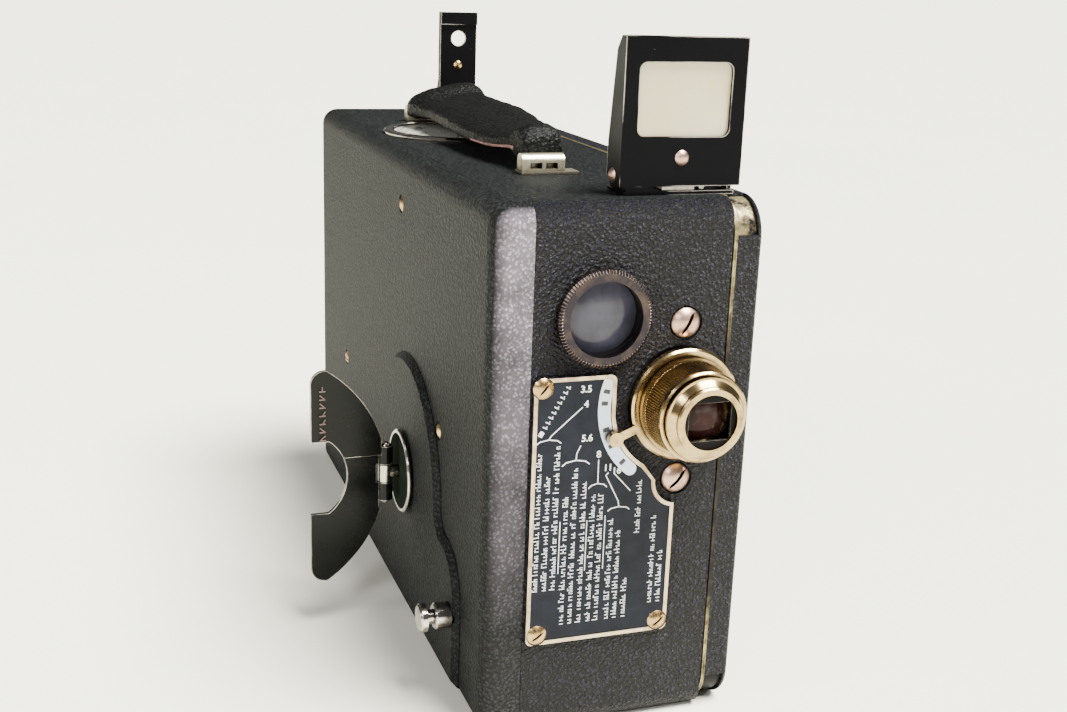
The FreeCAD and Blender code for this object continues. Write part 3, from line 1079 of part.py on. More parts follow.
def door():
    """Pan-shaped film door with a light-trap lip and the door half of the hinge."""
    pan = door_blank(LEATHER, DOOR_CORNER - LEATHER)
    rim = door_blank(0.0, DOOR_CORNER).common(
        block((DOOR_SEAM, FRONT - 1, -1), (DOOR_SEAM + SEAM_GAP + DOOR_RIM, BACK + 1, TOP + 1)))
    inset = LEATHER + DOOR_WALL
    hollow = rounded_across(block((DOOR_SEAM - 1, FRONT + inset, inset),
                                  (RIGHT - inset, BACK - inset, TOP - inset)), DOOR_CORNER - inset)
    gap = SKIN + DOOR_LIP_GAP
    lip_low, lip_high = (FRONT + gap, gap), (BACK - gap, TOP - gap)
    x0, x1 = DOOR_SEAM - DOOR_LIP_DEPTH, DOOR_SEAM + 1.0
    lip = block((x0, lip_low[0], lip_low[1]), (x1, lip_high[0], lip_high[1]))
    lip = rounded_across(lip, DOOR_CORNER - SKIN)
    inner = block((x0 - 1, lip_low[0] + DOOR_LIP_THICK, lip_low[1] + DOOR_LIP_THICK),
                  (x1 + 1, lip_high[0] - DOOR_LIP_THICK, lip_high[1] - DOOR_LIP_THICK))
    inner = rounded_across(inner, DOOR_CORNER - SKIN - DOOR_LIP_THICK)
    web = pan.common(block((DOOR_SEAM, FRONT, 0), (x1, BACK, TOP)))
    latch = rod_x(2.5 + RUNNING, LATCH_Y, LATCH_Z, DOOR_SEAM, RIGHT + BEYOND)
    knuckles = [hinge_knuckle(*hinge_spans()[k], side=1) for k in (1, 3)]
    shell = joined([pan, rim]).cut(hollow).cut(latch)
    return joined([shell, joined([web, lip]).cut(inner)] + knuckles)


def door_leather():
    """Leather on the door's face and flanges; the metal stays bare at the four corners."""
    skin = door_blank(0.0, DOOR_CORNER).cut(door_blank(LEATHER, DOOR_CORNER - LEATHER))
    x0, x1 = DOOR_SEAM - 1, RIGHT - DOOR_EDGE
    cuts = [block((x0, FRONT - 1, -1), (DOOR_SEAM + SEAM_GAP + DOOR_RIM, BACK + 1, TOP + 1)),
            rod_x(3.0, LATCH_Y, LATCH_Z, DOOR_SEAM, RIGHT + 1)]
    for y0, y1 in ((FRONT - 1, FRONT + DOOR_BARE_CORNER), (BACK - DOOR_BARE_CORNER, BACK + 1)):
        for z0, z1 in ((-1, DOOR_BARE_CORNER), (TOP - DOOR_BARE_CORNER, TOP + 1)):
            cuts.append(block((x0, y0, z0), (x1, y1, z1)))
    for low, high in (hinge_spans()[k] for k in (1, 3)):
        cuts.append(block((DOOR_SEAM, BACK - 2, low - 0.2), (DOOR_SEAM + 7.2, BACK + 1, high + 0.2)))
    return without(skin, cuts)


def door_hinge_pin():
    """Pin through the five knuckles, with a head at each end."""
    ends = [(DOOR_SEAM, HINGE_Y, HINGE_LOW - 0.6), (DOOR_SEAM, HINGE_Y, HINGE_HIGH + 0.6)]
    heads = [rod(1.8, (DOOR_SEAM, HINGE_Y, z), (DOOR_SEAM, HINGE_Y, z + 0.6))
             for z in (HINGE_LOW - 0.6, HINGE_HIGH)]
    return joined([rod(HINGE_PIN_RADIUS, *ends)] + heads)


def door_latch():
    """Turning latch: knurled knob outside the door and a cam arm inside it."""
    knob = rod_x(LATCH_KNOB_RADIUS, LATCH_Y, LATCH_Z, RIGHT + 0.4, RIGHT + 2.4)
    bar = block((RIGHT + 2.4, LATCH_Y - 1.3, LATCH_Z - 6.8), (RIGHT + 5.0, LATCH_Y + 1.3, LATCH_Z + 6.8))
    inside = RIGHT - LEATHER - DOOR_WALL
    spindle = rod_x(2.5, LATCH_Y, LATCH_Z, inside - 3.0, RIGHT + 1.0)
    arm = block((inside - 2.6, LATCH_Y - 11.0, LATCH_Z - 2.5), (inside - 1.0, LATCH_Y, LATCH_Z + 2.5))
    return joined([knob, bar, spindle, arm])


# ---------------------------------------------------------------- start button

def start_button():
    """Nickel plunger on the left side; pressing it lets the motor run."""
    face = BOSS_FACE - 8.6
    head = rod_x(BUTTON_RADIUS, BUTTON_Y, BUTTON_Z, face, face + 2.0)
    edges = [e for e in head.Edges if abs(e.BoundBox.XMax - face) < 0.01]
    head = head.makeChamfer(0.6, edges)
    stem = rod_x(BUTTON_STEM, BUTTON_Y, BUTTON_Z, face + 2.0, OUTER_PLATE_HIGH + 4.0)
    stop = rod_x(3.2, BUTTON_Y, BUTTON_Z, OUTER_PLATE_HIGH + 2.6, OUTER_PLATE_HIGH + 3.6)
    return joined([head, stem, stop])


def button_collar():
    """Fixed nut that guides the start button."""
    x0, x1 = BOSS_FACE - 4.4, LEFT + SKIN
    nut = rod_x(COLLAR_RADIUS, BUTTON_Y, BUTTON_Z, x0, BOSS_FACE)
    edges = [e for e in nut.Edges if abs(e.BoundBox.XMax - x0) < 0.01]
    nut = nut.makeChamfer(0.5, edges)
    sleeve = rod_x(COLLAR_SLEEVE, BUTTON_Y, BUTTON_Z, BOSS_FACE, x1)
    return joined([nut, sleeve]).cut(rod_x(BUTTON_STEM + RUNNING, BUTTON_Y, BUTTON_Z, x0 - 1, x1 + 1))


def button_spring():
    """Return spring of the start button, as the sleeve its coils fill."""
    return pipe(3.1, 2.2, (LEFT + SKIN + 0.2, BUTTON_Y, BUTTON_Z),
                (OUTER_PLATE_HIGH + 2.4, BUTTON_Y, BUTTON_Z))


NODES = {
    "body_case": body_case,
    "side_leather": side_leather,
    "front_leather": front_leather,
    "top_leather": top_leather,
    "back_leather": back_leather,
    "base_leather": base_leather,
    "tripod_socket": tripod_socket,
    "outer_plate": outer_plate,
    "mechanism_plate": mechanism_plate,
    "plate_pillars": plate_pillars,
    "spool_spindles": spool_spindles,
    "winding_shaft": winding_shaft,
    "key_escutcheon": key_escutcheon,
    "key_wing": key_wing,
    "key_hinge_pin": key_hinge_pin,
    "spring_barrel": spring_barrel,
    "mainspring": mainspring,
    "ratchet_wheel": ratchet_wheel,
    "ratchet_pawl": ratchet_pawl,
    "transfer_gear": transfer_gear,
    "sprocket": sprocket,
    "governor": governor,
    "shutter_disc": shutter_disc,
    "film_gate": film_gate,
    "film_claw": film_claw,
    "pressure_plate": pressure_plate,
    "takeup_spool": lambda: spool(TAKEUP_Y, TAKEUP_Z),
    "supply_spool": lambda: spool(SUPPLY_Y, SUPPLY_Z),
    "lens_barrel": lens_barrel,
    "lens_front_ring": lens_front_ring,
    "lens_mask": lens_mask,
    "lens_front_element": lambda: lens_element(14.6, 10.0, 2.2),
    "lens_rear_element": lambda: lens_element(2.0, -3.0, 1.2),
    "diaphragm_ring": diaphragm_ring,
    "iris_blades": iris_blades,
    "lens_mount_screws": lens_mount_screws,
    "case_screws": case_screws,
    "finder_bezel": finder_bezel,
    "finder_tube": finder_tube,
    "finder_lenses": finder_lenses,
    "exposure_plate": exposure_plate,
    "front_sight_base": front_sight_base,
    "front_sight_spring": front_sight_spring,
    "front_sight_frame": front_sight_frame,
    "front_sight_lens": front_sight_lens,
    "front_sight_rivets": front_sight_rivets,
    "rear_sight_base": rear_sight_base,
    "rear_sight_leaf": rear_sight_leaf,
    "rear_sight_rivets": rear_sight_rivets,
    "handle_strap": handle_strap,
    "handle_brackets": handle_brackets,
    "footage_bezel": footage_bezel,
    "footage_dial": footage_dial,
    "door": door,
    "door_leather": door_leather,
    "door_hinge_pin": door_hinge_pin,
    "door_latch": door_latch,
    "start_button": start_button,
    "button_collar": button_collar,
    "button_spring": button_spring,
}

os.makedirs("parts", exist_ok=True)
for name, make in NODES.items():
    shape = make()
    shape.exportStep(os.path.join("parts", name + ".step"))
    box = shape.BoundBox
    print(f"{name}: {len(shape.Solids)} solids, valid {shape.isValid()}, x {box.XMin:.1f}..{box.XMax:.1f}  "
          f"y {box.YMin:.1f}..{box.YMax:.1f}  z {box.ZMin:.1f}..{box.ZMax:.1f}")
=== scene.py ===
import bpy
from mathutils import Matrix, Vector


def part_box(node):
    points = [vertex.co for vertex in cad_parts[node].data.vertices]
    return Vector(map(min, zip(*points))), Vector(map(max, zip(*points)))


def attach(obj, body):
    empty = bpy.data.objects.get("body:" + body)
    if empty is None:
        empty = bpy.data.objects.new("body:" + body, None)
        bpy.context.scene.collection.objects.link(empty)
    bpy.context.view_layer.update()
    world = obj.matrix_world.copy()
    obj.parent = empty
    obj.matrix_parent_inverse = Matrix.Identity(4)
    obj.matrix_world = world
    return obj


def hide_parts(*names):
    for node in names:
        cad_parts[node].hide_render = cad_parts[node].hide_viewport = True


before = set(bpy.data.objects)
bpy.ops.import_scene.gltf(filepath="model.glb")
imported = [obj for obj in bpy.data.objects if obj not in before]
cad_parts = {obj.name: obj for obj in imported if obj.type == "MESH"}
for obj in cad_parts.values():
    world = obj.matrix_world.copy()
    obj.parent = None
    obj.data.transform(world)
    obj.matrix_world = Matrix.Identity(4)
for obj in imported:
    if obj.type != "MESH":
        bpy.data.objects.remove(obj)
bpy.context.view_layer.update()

import math
import random

import bmesh
import bpy
from mathutils import Matrix, Vector

# ---------------------------------------------------------------- driving dimensions, in mm

FRONT_FACE = -110.35
TOP_FACE = 141.3
LENS_X, LENS_Z = 15.7, 89.5
FINDER_X, FINDER_Z = -7.0, 112.8
HANDLE_X = -6.0
DIAL_X, DIAL_Y, DIAL_TOP = -5.0, 25.65, 142.1
KEY_Y, KEY_Z = -33.35, 47.2
PLATE_FIELD = FRONT_FACE - 0.9
PRINT_THICK = 0.05
SEAM_X = 27.4
LEATHER_THICK = 0.8
DOOR_CORNER = 10.0

CAMERA_PLACE = (-130.36, -405.89, 193.73)
CAMERA_AZIMUTH, CAMERA_ELEVATION, CAMERA_ROLL = -19.67, 15.94, 2.07
CAMERA_LENS = 45.36


def mm(*values):
    """Millimetres to a vector in metres."""
    return Vector([v / 1000.0 for v in values])


# ---------------------------------------------------------------- shader building

class Shader:
    """One material with its node tree and short calls for the nodes used here."""

    def __init__(self, name):
        self.material = bpy.data.materials.new(name)
        self.material.use_nodes = True
        self.tree = self.material.node_tree
        self.tree.nodes.clear()
        self.bsdf = self.tree.nodes.new("ShaderNodeBsdfPrincipled")
        out = self.tree.nodes.new("ShaderNodeOutputMaterial")
        self.tree.links.new(self.bsdf.outputs["BSDF"], out.inputs["Surface"])
        self.place = self.node("ShaderNodeTexCoord").outputs["Object"]

    def node(self, kind, values=(), **settings):
        made = self.tree.nodes.new(kind)
        for key, value in settings.items():
            setattr(made, key, value)
        for key, value in dict(values).items():
            self.put(made.inputs[key], value)
        return made

    def put(self, socket, value):
        if isinstance(value, bpy.types.NodeSocket):
            self.tree.links.new(value, socket)
        else:
            socket.default_value = value

    def set(self, **values):
        for key, value in values.items():
            self.put(self.bsdf.inputs[key.replace("_", " ")], value)

    def math(self, operation, *values):
        return self.node("ShaderNodeMath", enumerate(values), operation=operation).outputs[0]

    def axis(self, which):
        return self.node("ShaderNodeSeparateXYZ", {"Vector": self.place}).outputs[which]

    def noise(self, size, detail=4.0, rough=0.55, stretch=(1, 1, 1), bend=0.0):
        """Noise with features of about the given size in mm, stretched along an axis."""
        scaled = self.node("ShaderNodeMapping", {"Vector": self.place, "Scale": [1.0 / s for s in stretch]})
        made = self.node("ShaderNodeTexNoise", {
            "Vector": scaled.outputs[0], "Scale": 1000.0 / size, "Detail": detail, "Roughness": rough,
            "Distortion": bend})
        return made.outputs[0]

    def cells(self, size, feature, warp):
        """Distance to the nearest of a scatter of points about size mm apart, pushed about by noise."""
        shift = self.node("ShaderNodeTexNoise", {"Vector": self.place, "Scale": 1000.0 / size})
        moved = self.node("ShaderNodeVectorMath", operation="MULTIPLY_ADD")
        self.put(moved.inputs[0], shift.outputs[1])
        moved.inputs[1].default_value = [warp * size / 1000.0] * 3
        self.put(moved.inputs[2], self.place)
        made = self.node("ShaderNodeTexVoronoi", {"Vector": moved.outputs[0], "Scale": 1000.0 / size},
                         feature=feature)
        return made.outputs["Distance"]

    def ramp(self, value, low, high, start=0.0, end=1.0):
        made = self.node("ShaderNodeMapRange", {
            "Value": value, "From Min": low, "From Max": high, "To Min": start, "To Max": end})
        return made.outputs[0]

    def mix(self, factor, first, second):
        made = self.node("ShaderNodeMix", data_type="RGBA")
        self.put(made.inputs[0], factor)
        self.put(made.inputs[6], first)
        self.put(made.inputs[7], second)
        return made.outputs[2]

    def reach(self, *places):
        """Distance in m from a line; each place is an axis number and where the line crosses it in mm."""
        squares = [self.math("POWER", self.math("SUBTRACT", self.axis(which), at / 1000.0), 2.0)
                   for which, at in places]
        return self.math("SQRT", self.math("ADD", *squares))

    def occlusion_shade(self, depth):
        """Painted shade from ambient occlusion: 1 in slots and inner corners about depth mm across, 0 on open
        faces.
        """
        made = self.node("ShaderNodeAmbientOcclusion", {"Distance": depth / 1000.0}, samples=8)
        return self.ramp(made.outputs["AO"], 0.45, 0.85, 1.0, 0.0)

    def worn_edges(self, radius, low, high, patch=2.5, least=0.4):
        """1 along the sharp edges of the shape, broken up by patches of noise, and 0 elsewhere."""
        round_normal = self.node("ShaderNodeBevel", {"Radius": radius / 1000.0}, samples=6).outputs[0]
        flat_normal = self.node("ShaderNodeNewGeometry").outputs["Normal"]
        dot = self.node("ShaderNodeVectorMath", operation="DOT_PRODUCT")
        self.put(dot.inputs[0], round_normal)
        self.put(dot.inputs[1], flat_normal)
        sharp = self.math("SUBTRACT", 1.0, dot.outputs["Value"])
        broken = self.math("MULTIPLY", sharp, self.ramp(self.noise(patch), 0.42, 0.62, least, 1.6))
        return self.ramp(broken, low, high)

    def angle_ridges(self, x, z, count):
        """Waves round an axis along Y through (x, z) in mm, such as a knurl."""
        across = self.math("SUBTRACT", self.axis(0), x / 1000.0)
        up = self.math("SUBTRACT", self.axis(2), z / 1000.0)
        turn = self.math("ARCTAN2", up, across)
        return self.math("SINE", self.math("MULTIPLY", turn, float(count)))

    def bump(self, height, strength, depth):
        """Relief of the given depth in mm on top of the real shape."""
        made = self.node("ShaderNodeBump", {
            "Height": height, "Strength": strength, "Distance": depth / 1000.0})
        self.set(Normal=made.outputs[0])


def color(red, green, blue):
    return (red, green, blue, 1.0)


# ---------------------------------------------------------------- materials

def leather(name, dark, light, grain, depth, smooth, rough, gloss, crease=0.75):
    """Pebble-grain leather: small rounded grains that shine on top, dark creases, and uneven dye."""
    sh = Shader(name)
    pebbles = sh.ramp(sh.cells(grain, "F1", warp=0.9), 0.05, 0.75, 1.0, 0.0)
    wrinkles = sh.noise(grain * 0.7, 3.0, 0.6, bend=1.2)
    height = sh.math("ADD", pebbles, sh.math("MULTIPLY", wrinkles, 0.8))
    sh.bump(height, 1.0, depth)
    patches = sh.noise(34.0, 6.0, 0.62)
    tops = sh.ramp(height, crease, 1.35)
    strong = sh.math("MULTIPLY", tops, sh.ramp(patches, 0.30, 0.70, 0.55, 1.0))
    sh.set(Base_Color=sh.mix(strong, dark, light), Roughness=sh.ramp(tops, 0.0, 1.0, rough, smooth))
    sh.bsdf.inputs["Specular IOR Level"].default_value = gloss
    return sh, strong


def painted_front_sheen(sh, strong, sheen_color):
    """Polishes the strip round the front edge to a lower roughness and paints a silvery highlight on its
    grain tops, strongest in the upper half and fading downward.
    """
    ahead = sh.ramp(sh.axis(1), (FRONT_FACE + 2.4) / 1000.0, (FRONT_FACE + 0.3) / 1000.0)
    upper_highlight = sh.ramp(sh.axis(2), 0.030, 0.132, 0.03, 1.0)
    patchy = sh.ramp(sh.noise(9.0, 5.0, 0.6), 0.3, 0.6, 0.42, 1.0)
    tops = sh.math("MULTIPLY", sh.ramp(strong, 0.0, 0.9, 0.34, 1.0), patchy)
    shine = sh.math("MULTIPLY", sh.math("MULTIPLY", ahead, upper_highlight), tops)
    under = sh.bsdf.inputs["Base Color"].links[0].from_socket
    # Painted highlight: silvery base colour on the front strip's grain tops, brighter upward.
    sh.set(Base_Color=sh.mix(shine, under, sheen_color), Roughness=sh.ramp(ahead, 0.0, 1.0, 0.66, 0.34))
    return sh.material


def worn_enamel(name, paint, metal, edge, rough, gloss, patch=2.5, least=0.4):
    """Baked enamel with small chips, rubbed through to metal along its edges."""
    sh = Shader(name)
    wear = sh.worn_edges(edge, 0.035, 0.22, patch, least)
    specks = sh.ramp(sh.noise(1.1, 6.0, 0.7), 0.70, 0.74)
    bare = sh.math("MAXIMUM", wear, sh.math("MULTIPLY", specks, 0.6))
    toned = sh.noise(14.0, 5.0, 0.6)
    tint = sh.mix(sh.ramp(toned, 0.35, 0.7), paint, [min(1.0, c * 1.8) for c in paint[:3]] + [1.0])
    sh.set(Base_Color=sh.mix(bare, tint, metal), Metallic=bare,
           Roughness=sh.ramp(toned, 0.3, 0.7, rough, rough + 0.12))
    sh.bsdf.inputs["Specular IOR Level"].default_value = gloss
    sh.bump(sh.math("ADD", sh.noise(0.8, 3.0), sh.math("MULTIPLY", toned, 2.0)), 0.12, 0.08)
    return sh.material


def metal(name, bright, tarnish, rough, brushed=(1, 1, 1)):
    """Plated or bare metal with a fine grain, tarnish in patches, hairline scratches and painted shade in
    slots and inner corners.
    """
    sh = Shader(name)
    patches = sh.noise(6.0, 6.0, 0.66, bend=0.4)
    brush = sh.noise(0.35, 3.0, 0.6, stretch=brushed)
    scratches = sh.ramp(sh.noise(0.9, 2.0, 0.5, stretch=(1, 1, 9), bend=1.2), 0.62, 0.66)
    stain = sh.ramp(patches, 0.48, 0.70)
    # Painted shade: the base colour goes toward near-black where ambient occlusion finds slots and inner
    # corners.
    crevice_shade = sh.occlusion_shade(1.6)
    sh.set(Base_Color=sh.mix(crevice_shade, sh.mix(stain, bright, tarnish), color(0.012, 0.009, 0.007)), Metallic=1.0,
           Roughness=sh.math("ADD", sh.ramp(brush, 0.3, 0.7, rough * 0.8, rough * 1.25),
                             sh.math("MULTIPLY", stain, 0.14)))
    height = sh.math("SUBTRACT", sh.math("MULTIPLY", brush, 0.4), sh.math("MULTIPLY", scratches, 0.5))
    sh.bump(height, 0.12, 0.02)
    return sh


def dished(sh, y, z, radius, rim):
    """Black enamel in the dish of a disc that faces -X, inside a bright plated rim."""
    plated = sh.ramp(sh.reach((1, y), (2, z)), (radius - rim - 0.3) / 1000.0, (radius - rim) / 1000.0)
    bright = sh.bsdf.inputs["Base Color"].links[0].from_socket
    polish = sh.bsdf.inputs["Roughness"].links[0].from_socket
    dark = sh.mix(sh.noise(5.0, 5.0), color(0.004, 0.006, 0.005), color(0.016, 0.021, 0.016))
    dull = sh.math("ADD", sh.math("MULTIPLY", plated, -0.2), sh.math("ADD", polish, 0.2))
    sh.bsdf.inputs["Specular IOR Level"].default_value = 0.0
    sh.set(Base_Color=sh.mix(plated, dark, bright), Metallic=plated, Roughness=dull)
    return sh.material


def knurled(sh, x, z, count, low, high, depth):
    """Adds straight knurling round an axis along Y, between two distances in front of the case."""
    ahead = sh.math("SUBTRACT", FRONT_FACE / 1000.0, sh.axis(1))
    inside = sh.math("MULTIPLY", sh.ramp(ahead, (low - 0.15) / 1000.0, low / 1000.0),
                     sh.ramp(ahead, (high + 0.15) / 1000.0, high / 1000.0))
    ridges = sh.math("MULTIPLY", sh.angle_ridges(x, z, count), inside)
    # Painted shade: the knurl's grooves are darkened toward near-black.
    groove_shade = sh.ramp(ridges, -1.0, -0.1, 0.75, 0.0)
    plain = sh.bsdf.inputs["Base Color"].links[0].from_socket
    # The knurled band is darkened toward brown.
    toned = sh.mix(sh.math("MULTIPLY", inside, 0.55), plain, color(0.05, 0.026, 0.012))
    sh.set(Base_Color=sh.mix(groove_shade, toned, color(0.012, 0.007, 0.004)))
    sh.bump(ridges, 0.9, depth)
    return sh.material


def beaded(sh, x, z, count, radius, depth):
    """Adds a milled outer edge to a ring round an axis along Y, outside the given radius."""
    outside = sh.ramp(sh.reach((0, x), (2, z)), (radius - 0.15) / 1000.0, radius / 1000.0)
    beads = sh.math("MULTIPLY", sh.angle_ridges(x, z, count), outside)
    plain = sh.bsdf.inputs["Base Color"].links[0].from_socket
    sh.set(Base_Color=sh.mix(sh.ramp(beads, 0.1, 0.9, 0.0, 0.7), plain, color(0.20, 0.15, 0.13)))
    sh.bump(beads, 1.0, depth)
    return sh.material


def coated_glass(name, interior_shade, haze_and_rim_shade):
    """Opaque polished glass painted with the dark view into the lens as painted shade, reddish in the middle
    and darker toward the rim, with a little dust.
    """
    sh = Shader(name)
    dust = sh.ramp(sh.noise(5.0, 6.0, 0.65), 0.5, 0.8)
    # Painted shade: reddish dark near the lens axis, near-black from 7 mm outward.
    tone = sh.mix(sh.ramp(sh.reach((0, LENS_X), (2, LENS_Z)), 0.001, 0.007), interior_shade, haze_and_rim_shade)
    sh.set(Base_Color=sh.mix(sh.math("MULTIPLY", dust, 0.12), tone, color(0.30, 0.24, 0.24)),
           Roughness=sh.ramp(dust, 0.0, 1.0, 0.06, 0.14))
    sh.bsdf.inputs["Specular IOR Level"].default_value = 0.10
    return sh.material


def dusty_glass(name, tint):
    """Finder glass that is more dust than glass: a grey haze under a dull polish."""
    sh = Shader(name)
    haze = sh.noise(6.0, 6.0, 0.6)
    sh.set(Base_Color=sh.mix(sh.ramp(haze, 0.35, 0.7), tint, [c * 1.7 for c in tint[:3]] + [1.0]),
           Roughness=sh.ramp(haze, 0.3, 0.7, 0.10, 0.22))
    sh.bsdf.inputs["Specular IOR Level"].default_value = 0.28
    sh.bump(haze, 0.05, 0.1)
    return sh.material


def clear_pane(name):
    """Thin flat glass with a warm haze over most of it."""
    sh = Shader(name)
    haze_and_rim_shade = sh.ramp(sh.noise(16.0, 5.0, 0.6), 0.35, 0.75)
    sh.set(Base_Color=sh.mix(haze_and_rim_shade, color(0.50, 0.43, 0.23), color(0.66, 0.54, 0.36)),
           Roughness=sh.ramp(haze_and_rim_shade, 0.0, 1.0, 0.03, 0.14),
           Alpha=sh.ramp(haze_and_rim_shade, 0.0, 1.0, 0.78, 0.66))
    return sh.material


def plate_enamel(name):
    """Black plate whose raised border is polished through to warm metal."""
    sh = Shader(name)
    stain = sh.noise(5.0, 6.0, 0.65)
    raised = sh.math("LESS_THAN", sh.axis(1), (PLATE_FIELD - 0.1) / 1000.0)
    black = sh.mix(sh.ramp(stain, 0.35, 0.7), color(0.003, 0.0042, 0.008), color(0.008, 0.010, 0.018))
    sh.bsdf.inputs["Specular IOR Level"].default_value = 0.12
    border = sh.mix(sh.ramp(stain, 0.45, 0.62), color(0.62, 0.50, 0.34), color(0.34, 0.24, 0.15))
    sh.set(Base_Color=sh.mix(raised, black, border), Metallic=sh.math("MULTIPLY", raised, 0.75),
           Roughness=sh.ramp(stain, 0.3, 0.7, 0.28, 0.42))
    sh.bump(sh.noise(1.0, 4.0), 0.1, 0.05)
    return sh.material


def printed(name, ink):
    """Filled engraving with uneven cover."""
    sh = Shader(name)
    cover = sh.noise(0.7, 5.0, 0.7)
    sh.set(Base_Color=sh.mix(sh.ramp(cover, 0.42, 0.66), ink, [c * 0.55 for c in ink[:3]] + [1.0]),
           Roughness=sh.ramp(cover, 0.3, 0.7, 0.42, 0.6))
    sh.bump(cover, 0.2, 0.03)
    return sh.material


def raw_edge(name):
    """Cut edge of leather, pinkish brown and fibrous."""
    sh = Shader(name)
    fibre = sh.noise(0.8, 6.0, 0.75, stretch=(1, 5, 1))
    sh.set(Base_Color=sh.mix(sh.ramp(fibre, 0.35, 0.7), color(0.10, 0.05, 0.045), color(0.42, 0.22, 0.19)),
           Roughness=sh.ramp(fibre, 0.3, 0.7, 0.75, 0.9))
    sh.bump(fibre, 0.5, 0.12)
    return sh.material


def door_outside(sh):
    """1 on the outer walls of the door, whose outline is a rounded rectangle, and 0 on its inner faces."""
    straight = (-FRONT_FACE - DOOR_CORNER) / 1000.0
    upright = (TOP_FACE / 2 - DOOR_CORNER) / 1000.0
    along = sh.math("SUBTRACT", sh.math("ABSOLUTE", sh.axis(1)), straight)
    height = sh.math("SUBTRACT", sh.axis(2), TOP_FACE / 2000.0)
    up = sh.math("SUBTRACT", sh.math("ABSOLUTE", height), upright)
    corner = sh.math("SQRT", sh.math("ADD", sh.math("POWER", sh.math("MAXIMUM", along, 0.0), 2.0),
                                     sh.math("POWER", sh.math("MAXIMUM", up, 0.0), 2.0)))
    inner = sh.math("MINIMUM", sh.math("MAXIMUM", along, up), 0.0)
    edge = (DOOR_CORNER - LEATHER_THICK - 0.8) / 1000.0
    return sh.ramp(sh.math("ADD", corner, inner), edge - 0.0001, edge + 0.0001)


def door_metal(name):
    """Enamelled door pan, rubbed to bronze on its bare upper corners and to a bright line on its rim."""
    sh = Shader(name)
    wear = sh.worn_edges(0.9, 0.02, 0.16)
    patches = sh.noise(4.5, 7.0, 0.7)
    rubbed = sh.ramp(patches, 0.40, 0.60)
    seam = sh.math("MULTIPLY", sh.ramp(sh.axis(0), (SEAM_X + 1.2) / 1000.0, (SEAM_X + 0.5) / 1000.0),
                   sh.ramp(sh.axis(0), (SEAM_X - 0.2) / 1000.0, (SEAM_X + 0.1) / 1000.0))
    ends = sh.math("MAXIMUM", sh.ramp(sh.axis(2), 0.034, 0.022), sh.ramp(sh.axis(2), 0.100, 0.125))
    rubs = sh.math("MULTIPLY", sh.ramp(sh.noise(7.0, 6.0, 0.7), 0.42, 0.56),
                   sh.ramp(ends, 0.0, 1.0, 0.06, 1.0))
    rim = sh.math("MULTIPLY", seam, rubs)
    high = sh.math("MULTIPLY", sh.ramp(sh.axis(2), 0.126, 0.134),
                   sh.math("MULTIPLY", rubbed, sh.ramp(sh.axis(0), SEAM_X / 1000.0, (SEAM_X + 0.1) / 1000.0)))
    high = sh.math("MULTIPLY", high, door_outside(sh))
    edges = sh.math("MULTIPLY", wear, sh.ramp(ends, 0.0, 1.0, 0.04, 1.0))
    bare = sh.math("MAXIMUM", sh.math("MAXIMUM", edges, rim), high)
    bronze = sh.mix(sh.ramp(sh.noise(2.2, 6.0, 0.7), 0.4, 0.66),
                    color(0.42, 0.35, 0.18), color(0.10, 0.07, 0.04))
    sh.bsdf.inputs["Specular IOR Level"].default_value = 0.06
    sh.set(Base_Color=sh.mix(bare, color(0.010, 0.009, 0.010), bronze), Metallic=bare,
           Roughness=sh.ramp(patches, 0.3, 0.7, 0.30, 0.5))
    sh.bump(patches, 0.25, 0.1)
    return sh.material


